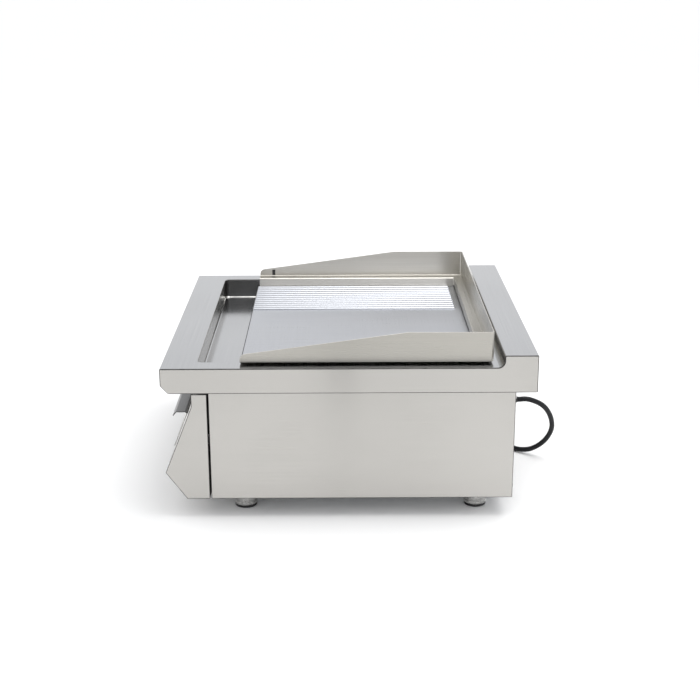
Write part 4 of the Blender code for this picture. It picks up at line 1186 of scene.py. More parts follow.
    def _drain_flange(self) -> Surface:
        """Rings from the patch's square border to the drain's edge and down into it.

        Returns:
            The flange.
        """
        side = np.linspace(-1, 1, self.drain_steps + 1)[:-1]
        one = np.ones_like(side)
        square = np.concatenate(
            [
                np.stack([side, -one], 1),
                np.stack([one, side], 1),
                np.stack([-side, one], 1),
                np.stack([-one, -side], 1),
            ]
        )
        angle = np.arctan2(square[:, 1], square[:, 0])
        circle = np.stack([np.cos(angle), np.sin(angle)], axis=1)
        radius, floor = self.drain_radius, TOP - self.trough_depth
        bend = np.radians(np.linspace(0, 90, 4))
        edge = self.drain_edge
        rings = [(self.drain_patch * square, 0.0)]
        rings += [
            (circle * (radius + edge * (1 - math.sin(a))), edge * (1 - math.cos(a)))
            for a in bend
        ]
        rings.append((circle * radius, self.drain_lip))
        loops = [
            np.column_stack([ring + np.array(self.drain), np.full(len(ring), floor - drop)])
            for ring, drop in rings
        ]
        return Surface.grid(np.stack(loops), loop=True)

    def build(self) -> bpy.types.Object:
        """Make the worktop with its own finish on top and another on upright faces; folds, hems and
        recess walls carry painted shade, and the folds at the recess floor carry a painted
        highlight.

        Returns:
            The piece.
        """
        mesh = self.surface().mesh("worktop_sheet")
        normals = face_normals(mesh)
        across, up = np.abs(normals[:, 0]), normals[:, 2]
        centres = np.zeros(len(mesh.polygons) * 3, np.float32)
        mesh.polygons.foreach_get("center", centres)
        x, height = centres.reshape(-1, 3)[:, 0], centres.reshape(-1, 3)[:, 2]
        hem = height < self.skirt_bottom + self.hem
        low = np.where(up < 0.25, 0.2, 0.45)
        # Folds and hems, and the bevels below, carry a dark painted shade line.
        fold = (across > low) & (across < 0.95) | hem
        recess = (np.abs(x) < self.half_width - 0.02) & (height < TOP)
        # The folds at the recess floor carry a painted highlight instead.
        foot = recess & fold & (height < TOP - self.trough_depth + 0.004)
        # The recess walls carry painted shade, a darker copy of the steel.
        wall = recess & (across > 0.95)
        numbers = np.where(np.abs(up) < 0.7, Patch.UPRIGHT, Patch.FACE)
        for chosen, patch in ((fold, Patch.CUT), (wall, Patch.WALL), (foot, Patch.FOOT)):
            numbers = np.where(chosen, patch, numbers)
        number_faces(mesh, numbers)
        place = Place("griddle_body", "brushed_steel", ("worktop",))
        finishes = [Finishes.WORKTOP, Finishes.SIDES, Finishes.CUT]
        finishes += [Finishes.BRIGHT, Finishes.RECESS]
        wall = Wall(SHEET, FINE_EDGE, edge_finish=Patch.CUT)
        return make_piece("worktop_sheet", mesh, finishes, place, wall)


@dataclass
class Plate:
    """Thick plate, ribbed on its left third, on one grid with its top edges rounded."""

    half_width: float = 0.262
    low_y: float = -0.178
    high_y: float = 0.219
    top: float = 0.2459
    thickness: float = 0.015
    edge: float = 0.0015
    ribs: int = 12
    first_rib: float = -0.256
    pitch: float = 0.0142
    rib_width: float = 0.0092
    rise: float = 0.003
    rib_y: tuple[float, float] = (-0.177, 0.202)
    run_in: float = 0.0015
    run_out: float = 0.006

    def _rise(self, x: Array, y: Array) -> Array:
        """Height of the ribs: sqrt(1 - t^2) across each rib, eased to nothing at both ends.

        Args:
            x: places across.
            y: places along.

        Returns:
            Height above the plate's face.
        """
        phase = (x - self.first_rib) / self.pitch
        inside = (phase > 0) & (phase < self.ribs)
        t = ((phase % 1) - 0.5) * self.pitch / (self.rib_width / 2)
        arch = np.sqrt(np.clip(1 - t**2, 0, 1)) * inside
        low = np.clip((y - self.rib_y[0]) / self.run_in, 0, 1)
        high = np.clip((self.rib_y[1] - y) / self.run_out, 0, 1)
        ease = np.sqrt(low * (2 - low)) * np.sqrt(high * (2 - high))
        return self.rise * arch * ease

    def _x_lines(self) -> Array:
        """Lines across the plate: eleven on each rib, closer together on its flanks.

        Returns:
            The places along X.
        """
        turn = np.cos(np.linspace(np.pi, 0, 11)) * self.rib_width / 2
        centre = self.first_rib + self.pitch * (np.arange(self.ribs) + 0.5)
        ribs = (centre[:, None] + turn[None, :]).ravel()
        smooth = np.linspace(ribs[-1] + self.pitch, self.half_width - 0.01, 6)
        return np.concatenate([ribs, smooth])

    def surface(self) -> Surface:
        """The slab: height is top + rib rise less the rounding's drop, then straight sides.

        Returns:
            The closed plate.
        """
        angle = np.radians(np.linspace(90, 0, 5))
        inward = self.edge * (1 - np.sin(angle))
        drop = self.edge * (1 - np.cos(angle))
        x = np.concatenate(
            [-self.half_width + inward, self._x_lines(), self.half_width - inward[::-1]]
        )
        run = np.linspace(0, 1, 6)
        first = self.rib_y[0] + self.run_in * run
        last = self.rib_y[1] - self.run_out * run[::-1]
        y = np.concatenate(
            [
                self.low_y + inward,
                first,
                np.linspace(-0.15, 0.17, 9),
                last,
                self.high_y - inward[::-1],
            ]
        )
        drop_x = np.concatenate([drop, np.zeros(len(x) - 2 * len(drop)), drop[::-1]])
        drop_y = np.concatenate([drop, np.zeros(len(y) - 2 * len(drop)), drop[::-1]])
        fall = np.maximum(drop_x[None, :], drop_y[:, None])
        height = self.top + self._rise(x[None, :], y[:, None]) * (fall == 0) - fall
        points = np.stack([x[None, :] + 0 * height, y[:, None] + 0 * height, height], axis=-1)
        middle = np.maximum(fall[:-1, :-1], fall[1:, 1:]) > 0
        top = Surface.grid(points, ~middle) + Surface.grid(points, middle, finish=1)
        return top + self._underside(points)

    def _underside(self, points: Array) -> Surface:
        """Straight sides from the top's border down, and a flat bottom face.

        Args:
            points: the top's grid.

        Returns:
            Sides and bottom.
        """
        border = np.concatenate(
            [points[0, :-1], points[:-1, -1], points[-1, :0:-1], points[:0:-1, 0]]
        )
        foot = border.copy()
        foot[:, 2] = self.top - self.thickness
        sides = Surface.grid(np.stack([foot, border]), loop=True, finish=1)
        return sides + Surface.facet(foot[::-1], 1)

    def build(self) -> bpy.types.Object:
        """Make the plate.

        Returns:
            The piece.
        """
        place = Place("griddle_body", "plate_steel", ("griddle_plate",))
        finishes = [Finishes.PLATE, Finishes.SCALE]
        return make_piece("griddle_plate_ground", self.surface(), finishes, place)


@dataclass
class SplashGuard:
    """Three-sided guard: a leg, a ledge and a wall carried along a U-shaped path."""

    wall_x: float = 0.2785
    wall_y: float = 0.2290
    leg_x: float = 0.256
    leg_y: float = 0.213
    front: float = -0.174
    ledge: float = 0.2630
    leg_bottom: float = 0.2462
    rear_leg_bottom: float = 0.2484
    top: float = 0.311
    nose: float = 0.275
    knee: float = 0.093
    nose_radius: float = 0.008
    lip: float = 0.0020
    root: float = 0.0010
    slot_y: tuple[float, float] = (-0.150, -0.144)
    slot_z: tuple[float, float] = (0.264, 0.275)
    slot_depth: float = 0.0010
    wiped: int = 3

    def _top_edge(self, y: Array) -> Array:
        """Height of the wall: a rounded nose, a straight slope, then level.

        Args:
            y: places along the side.

        Returns:
            Height of the top edge.
        """
        slope = self.nose + (self.top - self.nose) * (y - self.front) / (self.knee - self.front)
        out = np.clip(1 - (y - self.front) / self.nose_radius, 0, 1)
        nose = self.nose_radius * (1 - np.sqrt(1 - out**2))
        return np.minimum(slope, self.top) - nose

    def _path(self, x: float, y: float, radius: float) -> Array:
        """One U-shaped plan line from the right front round the rear to the left front.

        Args:
            x: half width.
            y: place of the rear stretch.
            radius: radius of its corners.

        Returns:
            (n, 2) points.
        """
        nose = self.front + self.nose_radius * (1 - np.cos(np.radians(np.linspace(0, 90, 7))))
        side = np.concatenate([nose, self.slot_y, [-0.10, -0.04, 0.03, self.knee, 0.16]])
        along = np.stack([np.full(len(side), x), side], axis=1)
        turn = np.radians(np.linspace(0, 90, 6))
        bend = np.stack([x - radius + radius * np.cos(turn), y - radius + radius * np.sin(turn)], 1)
        middle = np.array([[x / 2, y]])
        right = np.concatenate([along, bend, middle])
        left = right[::-1] * np.array([-1.0, 1.0])
        return np.concatenate([right, [[0.0, y]], left])

    def surface(self) -> Surface:
        """Rows up the profile, columns along the path; the faces look at the plate.

        Returns:
            The guard's inner skin.
        """
        wall = self._path(self.wall_x, self.wall_y, 0.0030)
        leg = self._path(self.leg_x, self.leg_y, 0.0020)
        reach = np.linalg.norm(wall - leg, axis=1)[:, None]
        rear = np.clip((leg[:, 1] - 0.16) / (self.leg_y - 0.16), 0, 1)
        foot = self.leg_bottom + (self.rear_leg_bottom - self.leg_bottom) * (rear > 0.98)
        turn = np.radians(np.linspace(0, 90, 5))
        out = (wall - leg) / reach
        rows = [np.column_stack([leg, foot])]
        for angle in turn:
            plan = leg + out * self.lip * (1 - math.cos(angle))
            level = self.ledge - self.lip * (1 - math.sin(angle))
            rows.append(np.column_stack([plan, np.full(len(leg), level)]))
        for angle in turn:
            plan = wall - out * self.root * (1 - math.sin(angle))
            level = self.ledge + self.root * (1 - math.cos(angle))
            rows.append(np.column_stack([plan, np.full(len(leg), level)]))
        high = self._top_edge(wall[:, 1])
        low = self.ledge + self.root
        for share in (0.35, 0.74, 0.9, 1.0):
            rows.append(np.column_stack([wall, low + (high - low) * share]))
        return Surface.grid(np.stack(rows)).flipped()

    def build(self) -> bpy.types.Object:
        """Make the guard.

        Returns:
            The piece.
        """
        mesh = self.surface().mesh("splash_guard_sheet")
        # The side walls' inner faces get a lighter copy of the guard steel, painted light; the
        # solidified outer faces keep the plain one.
        sideways = np.abs(face_normals(mesh)[:, 0]) > 0.5
        number_faces(mesh, np.where(sideways, self.wiped, 0))
        place = Place("splash_guard", "guard_steel", ("splash_guard",))
        # The guard's rounded edges take finish 1, a painted highlight.
        wall = Wall(
            SHEET, FINE_EDGE, edge_finish=1, pockets=self.pockets(), back_finish=-self.wiped
        )
        finishes = [Finishes.GUARD, Finishes.BRIGHT, Finishes.SCALE, Finishes.WIPED]
        return make_piece("splash_guard_sheet", mesh, finishes, place, wall)

    def pockets(self) -> Surface:
        """Two boxes that reach from inside the guard into its walls; their faces take finish 2, the
        near-black scale, as painted shade that makes the shallow pockets look like deep slots.

        Returns:
            Both closed boxes.
        """
        (front, rear), (low, high) = self.slot_y, self.slot_z
        near, far = self.wall_x - 0.002, self.wall_x + self.slot_depth
        loop = np.array([(front, low), (rear, low), (rear, high), (front, high)])
        rings = np.stack([np.column_stack([np.full(4, x), loop]) for x in (near, far)])
        sides = Surface.grid(rings, loop=True, finish=2)
        box = sides + Surface.facet(rings[1], 2) + Surface.facet(rings[0][::-1], 2)
        return box + box.mirrored()


@dataclass
class Housing:
    """Panels, console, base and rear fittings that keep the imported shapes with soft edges."""

    panel_edge: float = 0.0005
    moulded_edge: float = 0.0006
    turned_edge: float = 0.0002
    wool_edge: float = 0.001
    rear_face: float = 0.266
    screws: int = 4

    def build(self) -> None:
        """Soften and finish the folded panels and the parts behind them."""
        for node in ("left_side_panel", "right_side_panel", "rear_panel", "console_panel"):
            # Their rounded edges and a thin rim round their large sideways faces carry a dark
            # painted shade line.
            soften(node, Finishes.SIDES, "brushed_steel", self.panel_edge, Finishes.CUT)
        soften("base_plate", Finishes.GALVANISED, "galvanised", FINE_EDGE)
        soften("heat_shield", Finishes.GALVANISED, "galvanised", FINE_EDGE)
        soften("insulation", Finishes.WOOL, "mineral_wool", self.wool_edge)
        soften("drain_spout", Finishes.WORKTOP, "brushed_steel", FINE_EDGE)
        soften("terminal_block", Finishes.CERAMIC, "white_ceramic", self.moulded_edge)
        soften("safety_limiter", Finishes.BLACK, "black_plastic", self.moulded_edge)
        soften("equipotential_stud", Finishes.BRASS, "brass", self.turned_edge)
        for side in Side:
            end = side.value
            soften("element_clamp_" + end, Finishes.GALVANISED, "galvanised", FINE_EDGE)
            soften("thermostat_" + end, Finishes.BLACK, "black_plastic", self.moulded_edge)
            soften("heating_element_" + end, Finishes.SHEATH, "heater_sheath", 0)
            soften("sensor_" + end, Finishes.COPPER, "copper", 0)
            soften("spindle_" + end, Finishes.ZINC, "galvanised", self.turned_edge)
            soften("drawer_rail_" + end, Finishes.GALVANISED, "galvanised", FINE_EDGE)
        soften("inner_lead", Finishes.CORD, "black_rubber", 0)
        self._screws()
        self._button()

    def _screws(self) -> None:
        """Four pan-head screws with a cross recess."""
        for number in range(1, self.screws + 1):
            node = f"rear_screw_{number}"
            low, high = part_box(node)
            centre = ((low.x + high.x) / 2, self.rear_face, (low.z + high.z) / 2)
            head = Surface.turned(
                [(0, -0.008), (0.002, -0.008), (0.002, 0.0003), (0.004, 0.0003), (0.004, 0.0010)]
                + [(0.0036, 0.0018), (0.0028, 0.0023), (0.0015, 0.0026), (0, 0.0026)],
                32,
            )
            shape = head.placed(facing(centre, (0, 1, 0)))
            place = Place("griddle_body", "galvanised", (node,))
            make_piece(node + "_head", shape, [Finishes.ZINC], place)

    def _button(self) -> None:
        """Reset button: a rounded cap with a shallow dish on its face."""
        angle = np.radians(np.linspace(0, 90, 7))
        rim = np.column_stack([0.0032 + 0.0008 * np.cos(angle), 0.0037 + 0.0008 * np.sin(angle)])
        dish = [(0.0024, 0.0044), (0.0014, 0.0040), (0, 0.0039)]
        profile = np.concatenate([[(0, -0.0105), (0.004, -0.0105)], rim, dish])
        low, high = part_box("reset_button")
        centre = ((low.x + high.x) / 2, self.rear_face, (low.z + high.z) / 2)
        shape = Surface.turned(profile, 40).placed(facing(centre, (0, 1, 0)))
        place = Place("reset_button", "red_plastic", ("reset_button",))
        make_piece("reset_button_cap", shape, [Finishes.RED], place)


@dataclass
class Drawer:
    """Grease drawer: a proud sloped front whose top folds out into a lip, and its tray."""

    left: float = 0.030
    right: float = 0.190
    top_drop: float = 0.0525
    bottom_drop: float = 0.1170
    standoff: float = 0.0010
    lip: float = 0.0185
    flange: float = 0.008

    def surface(self) -> Surface:
        """The front's line in (y, z), carried along X; its faces look back and up.

        Returns:
            The front's rear skin.
        """
        foot = SLOPE_TOP - SLOPE_UP * self.bottom_drop + SLOPE_OUT * self.standoff
        head = SLOPE_TOP - SLOPE_UP * self.top_drop + SLOPE_OUT * self.standoff
        edge = (head.y - self.lip, head.z)
        tip = (edge[0] - self.flange * 0.62, edge[1] - self.flange * 0.78)
        line = rounded([(foot.y, foot.z), (head.y, head.z), edge, tip], (0.0025, 0.0022), 6)
        x = np.array([self.left, (self.left + self.right) / 2, self.right])
        points = np.stack(
            [
                np.broadcast_to(x[None, :], (len(line), 3)),
                np.broadcast_to(line[:, :1], (len(line), 3)),
                np.broadcast_to(line[:, 1:], (len(line), 3)),
            ],
            axis=-1,
        )
        return Surface.grid(points)

    def build(self) -> None:
        """Make the front and finish the tray."""
        place = Place("grease_drawer", "brushed_steel", ("drawer_front",))
        mesh = self.surface().mesh("drawer_front_sheet")
        # Faces that look up or down, the lip, take finish 2, a darker copy of the steel as painted
        # shade.
        number_faces(mesh, np.where(np.abs(face_normals(mesh)[:, 2]) > 0.6, 2, 0))
        # Its rounded edges take finish 1, a dark painted shade line.
        wall = Wall(SHEET, 0.0004, edge_finish=1)
        finishes = [Finishes.SIDES, Finishes.CUT, Finishes.LIP]
        make_piece("drawer_front_sheet", mesh, finishes, place, wall)
        soften("drawer_tray", Finishes.WORKTOP, "brushed_steel", FINE_EDGE)


# ------------------------------------------------------------------- controls


@dataclass
class Controls:
    """One thermostat's knob, printed dial and two pilot lamps."""

    side: Side
    x: float
    drop: float = 0.042
    knob_radius: float = 0.0225
    dial_radius: float = 0.031
    lamp_offset: float = 0.048
    lamp_radius: float = 0.006
    lens_radius: float = 0.0049
    stem: float = 0.0045
    dial_thickness: float = 0.0011
    number_radius: float = 0.0275
    number_size: float = 0.0036

    def build(self) -> None:
        """Make the knob, the dial and the lamps of this side."""
        face = on_console(self.x, self.drop)
        knob = "knob_" + self.side.value
        place = Place(knob, "black_plastic", (knob,))
        finishes = [Finishes.BLACK, Finishes.WHITE_INK]
        make_piece(knob + "_cap", self.knob().placed(face), finishes, place)
        self._dial(face)
        for use, slot, drop, finish in (
            ("power", "green_lens", 0.030, Finishes.GREEN),
            ("heating", "amber_lens", 0.054, Finishes.AMBER),
        ):
            node = f"{use}_lamp_{self.side.value}"
            shape = self.lamp().placed(on_console(self.x + self.lamp_offset, drop))
            place = Place("griddle_body", slot, (node,))
            make_piece(node + "_lens", shape, [finish, Finishes.BLACK], place)

    def knob(self) -> Surface:
        """A skirted cap turned from one profile, with a lofted grip and a white pointer.

        Returns:
            The knob, its Z out of the console.
        """
        base, disc = 0.0020, 0.0150
        skirt = rounded(
            [
                (0.0, base),
                (self.knob_radius, base),
                (self.knob_radius, base + 0.0032),
                (self.knob_radius - 0.0022, base + 0.0042),
                (self.knob_radius - 0.0036, disc),
                (0.0, disc),
            ],
            (0.0004, 0.0009, 0.0008, 0.0014),
            4,
        )
        body = Surface.turned(skirt, 96)
        angle = np.linspace(0, 2 * np.pi, 48, endpoint=False)
        levels = np.radians(np.linspace(0, 90, 6))
        heights = np.concatenate([[disc - 0.0030], 0.0194 + 0.0016 * np.sin(levels)])
        shrink = np.concatenate([[0.0], 0.0016 * (1 - np.cos(levels))])
        loops = [
            self._oval(angle, self.stem - cut, self.knob_radius - self.stem - cut, z)
            for cut, z in zip(shrink, heights)
        ]
        grip = Surface.grid(np.stack(loops), loop=True) + Surface.facet(loops[-1])
        bar = self._oval(angle, 0.00055, 0.0065, 0.02112) + np.array([0, 0.0085, 0])
        under = bar - np.array([0, 0, 0.0006])
        pointer = Surface.grid(np.stack([under, bar]), loop=True, finish=1)
        return body + grip + pointer + Surface.facet(bar, 1)

    @staticmethod
    def _oval(angle: Array, half_x: float, half_y: float, z: float) -> Array:
        """A superellipse loop: sign(c) |c|^p times its half size, p 0.6 on cos and 0.35 on sin.

        Args:
            angle: places round the loop.
            half_x: half width.
            half_y: half length.
            z: height.

        Returns:
            (n, 3) points.
        """
        c, s = np.cos(angle), np.sin(angle)
        x = half_x * np.sign(c) * np.abs(c) ** 0.6
        y = half_y * np.sign(s) * np.abs(s) ** 0.35
        return np.column_stack([x, y, np.full(len(angle), z)])

    def lamp(self) -> Surface:
        """A domed lens with a black collar, on its stem.

        Returns:
            The lamp, its Z out of the console.
        """
        angle = np.radians(np.linspace(0, 90, 9))
        dome = np.column_stack(
            [self.lens_radius * np.cos(angle), 0.0016 + 0.0036 * np.sin(angle)]
        )
        under, rim = 0.0003, self.lamp_radius
        collar = rounded(
            [(self.stem, under), (rim, under), (rim, 0.0018), (0.0047, 0.0022)],
            (0.0003, 0.0004),
            3,
        )
        stem = [(0.0, -0.020), (self.stem, -0.020), (self.stem, under)]
        lower = Surface.turned(np.concatenate([stem, collar[1:], dome[:1]]), 40, finish=1)
        return lower + Surface.turned(dome, 40)

    def _dial(self, face: Matrix) -> None:
        """A thin ring with a growing band, ticks and generic numbers.

        Args:
            face: frame of the dial.
        """
        name, thick, inner = "dial_" + self.side.value, self.dial_thickness, self.stem
        under = 0.0003
        profile = rounded(
            [
                (inner, under),
                (self.dial_radius, under),
                (self.dial_radius, thick),
                (inner, thick),
                (inner, under),
            ],
            (0.0001, 0.0003, 0.0001),
            3,
        )
        ring = Surface.turned(profile, 96)
        shape = ring + self._ticks(thick) + self._band(thick)
        mesh = shape.placed(face).mesh(name)
        self._add_numbers(mesh, face, thick)
        place = Place("griddle_body", "dial_print", ("dial_plate_" + self.side.value,))
        finishes = [Finishes.DIAL, Finishes.INK, Finishes.RED_INK]
        make_piece(name, mesh, finishes, place)

    @staticmethod
    def _ticks(level: float) -> Surface:
        """Short raised bars, one every ten degrees of setting from 50 to 300.

        Args:
            level: height of the dial's face.

        Returns:
            The bars.
        """
        angle = np.radians(90 - np.arange(40, 291, 10))
        long_tick = np.arange(len(angle)) % 5 == 0
        inner, outer = 0.0236, np.where(long_tick, 0.0254, 0.0248)
        half = np.where(long_tick, 0.00022, 0.00014)
        out = np.stack([np.cos(angle), np.sin(angle)], axis=1)
        side = np.stack([-out[:, 1], out[:, 0]], axis=1) * half[:, None]
        near, far = out * inner, out * outer[:, None]
        ring = np.stack([near - side, far - side, far + side, near + side], axis=1)
        low = np.concatenate([ring, np.full(ring.shape[:2] + (1,), level - 0.0001)], axis=-1)
        high = low + np.array([0, 0, 0.00015])
        points = np.concatenate([low, high], axis=1).reshape(-1, 3)
        ends = [[3, 2, 1, 0], [4, 5, 6, 7]]
        box = np.array(ends + [[0, 1, 5, 4], [1, 2, 6, 5], [2, 3, 7, 6], [3, 0, 4, 7]])
        faces = (np.arange(len(angle))[:, None, None] * 8 + box).reshape(-1, 4)
        return Surface(points, [(faces, 1)])

    @staticmethod
    def _band(level: float) -> Surface:
        """A wedge-shaped band that widens with the setting.

        Args:
            level: height of the dial's face.

        Returns:
            The closed band.
        """
        share = np.linspace(0, 1, 61)
        angle = np.radians(90 - (40 + 250 * share))
        inner = 0.0302 - 0.0002 - 0.0011 * share
        outer = np.full_like(share, 0.0302)
        low, high = level - 0.0001, level + 0.00004
        rows = [(inner, low), (inner, high), (outer, high), (outer, low), (inner, low)]
        points = np.stack(
            [
                np.column_stack([r * np.cos(angle), r * np.sin(angle), np.full(len(r), z)])
                for r, z in rows
            ]
        )
        ends = [points[:4, 0][::-1], points[:4, -1]]
        band = Surface.grid(points, finish=2)
        return band + Surface.facet(ends[0], 2) + Surface.facet(ends[1], 2)

    def _add_numbers(self, mesh: bpy.types.Mesh, face: Matrix, level: float) -> None:
        """Join the raised numbers 0 to 300 to the dial's mesh.

        Args:
            mesh: the dial, changed in place.
            face: frame of the dial.
            level: height of the dial's face.
        """
        made = bmesh.new()
        made.from_mesh(mesh)
        turns = (0, 40, 90, 140, 190, 240, 290)
        for setting, turn in zip(range(0, 301, 50), turns):
            before = len(made.faces)
            made.from_mesh(self._number(str(setting), turn, level, face))
            made.faces.ensure_lookup_table()
            for index in range(before, len(made.faces)):
                made.faces[index].material_index = 1
        made.to_mesh(mesh)
        made.free()

    def _number(self, text: str, turn: float, level: float, face: Matrix) -> bpy.types.Mesh:
        """One number as a raised mesh, upright at its angle on the dial.

        Args:
            text: the number.
            turn: degrees clockwise from the top.
            level: height of the dial's face.
            face: frame of the dial.

        Returns:
            The number in place.
        """
        curve = bpy.data.curves.new("number", "FONT")
        curve.body = text
        curve.size = self.number_size
        curve.extrude = 0.00008
        curve.align_x = curve.align_y = "CENTER"
        curve.resolution_u = 3
        holder = bpy.data.objects.new("number", curve)
        bpy.context.scene.collection.objects.link(holder)
        bpy.context.view_layer.update()
        graph = bpy.context.evaluated_depsgraph_get()
        mesh = bpy.data.meshes.new_from_object(holder.evaluated_get(graph))
        bpy.data.objects.remove(holder)
        angle = math.radians(90 - turn)
        out = self.number_radius
        place = Matrix.Translation((out * math.cos(angle), out * math.sin(angle), level))
        mesh.transform(face @ place)
        return mesh


# ------------------------------------------------------------------------ feet


@dataclass
class Foot:
    """Adjustable foot: a turned steel cup on its stud, and a rubber pad."""

    name: str
    x: float
    y: float
    stud: float = 0.0050
    groove: float = 0.0177
    lower_rim: float = 0.0187
    cup: float = 0.0190
    pad: float = 0.0183
    pad_top: float = 0.0040
    cup_levels: tuple[float, ...] = (0.0043, 0.0096, 0.0112, 0.0339, 0.0557)

    def build(self) -> None:
        """Make the cup with its groove and the pad with its rounded rim."""
        body = "foot_" + self.name
        centre = Matrix.Translation((self.x, self.y, 0))
        foot, groove_foot, groove_top, cup_top, stud_top = self.cup_levels
        cup = rounded(
            [
                (0.0, foot),
                (self.lower_rim, foot),
                (self.lower_rim, groove_foot),
                (self.groove, groove_foot),
                (self.groove, groove_top),
                (self.cup, groove_top),
                (self.cup, cup_top),
                (self.stud, cup_top),
                (self.stud, stud_top),
                (0.0, stud_top),
            ],
            (0.0012, 0.0008, 0.0003, 0.0003, 0.0008, 0.0018, 0.0005, 0.0008),
            4,
        )
        pad = rounded(
            [(0.0, 0.0), (self.pad, 0.0), (self.pad, self.pad_top), (0.0, self.pad_top)],
            (0.0012, 0.0006),
            5,
        )
        cup_place = Place(body, "brushed_steel", ("foot_cup_" + self.name,))
        pad_place = Place(body, "black_rubber", ("foot_pad_" + self.name,))
        cup_shape = Surface.turned(cup, 72).placed(centre)
        pad_shape = Surface.turned(pad, 72).placed(centre)
        make_piece(body + "_cup", cup_shape, [Finishes.CUP], cup_place)
        make_piece(body + "_pad", pad_shape, [Finishes.RUBBER], pad_place)


# ------------------------------------------------------------------------ cord

CORD_ROUTE = (
    (0.1050, 0.2964, 0.1350),
    (0.1050, 0.3165, 0.1350),
    (0.0985, 0.3420, 0.1215),
    (0.083, 0.3590, 0.0960),
    (0.066, 0.3655, 0.0650),
    (0.048, 0.3560, 0.0340),
    (0.031, 0.3350, 0.0120),
    (0.014, 0.3120, 0.0050),
    (-0.012, 0.2995, 0.0047),
    (-0.060, 0.2970, 0.0047),
    (-0.130, 0.3030, 0.0047),
    (-0.200, 0.3170, 0.0047),
    (-0.258, 0.3360, 0.0050),
    (-0.292, 0.3460, 0.0055),
)


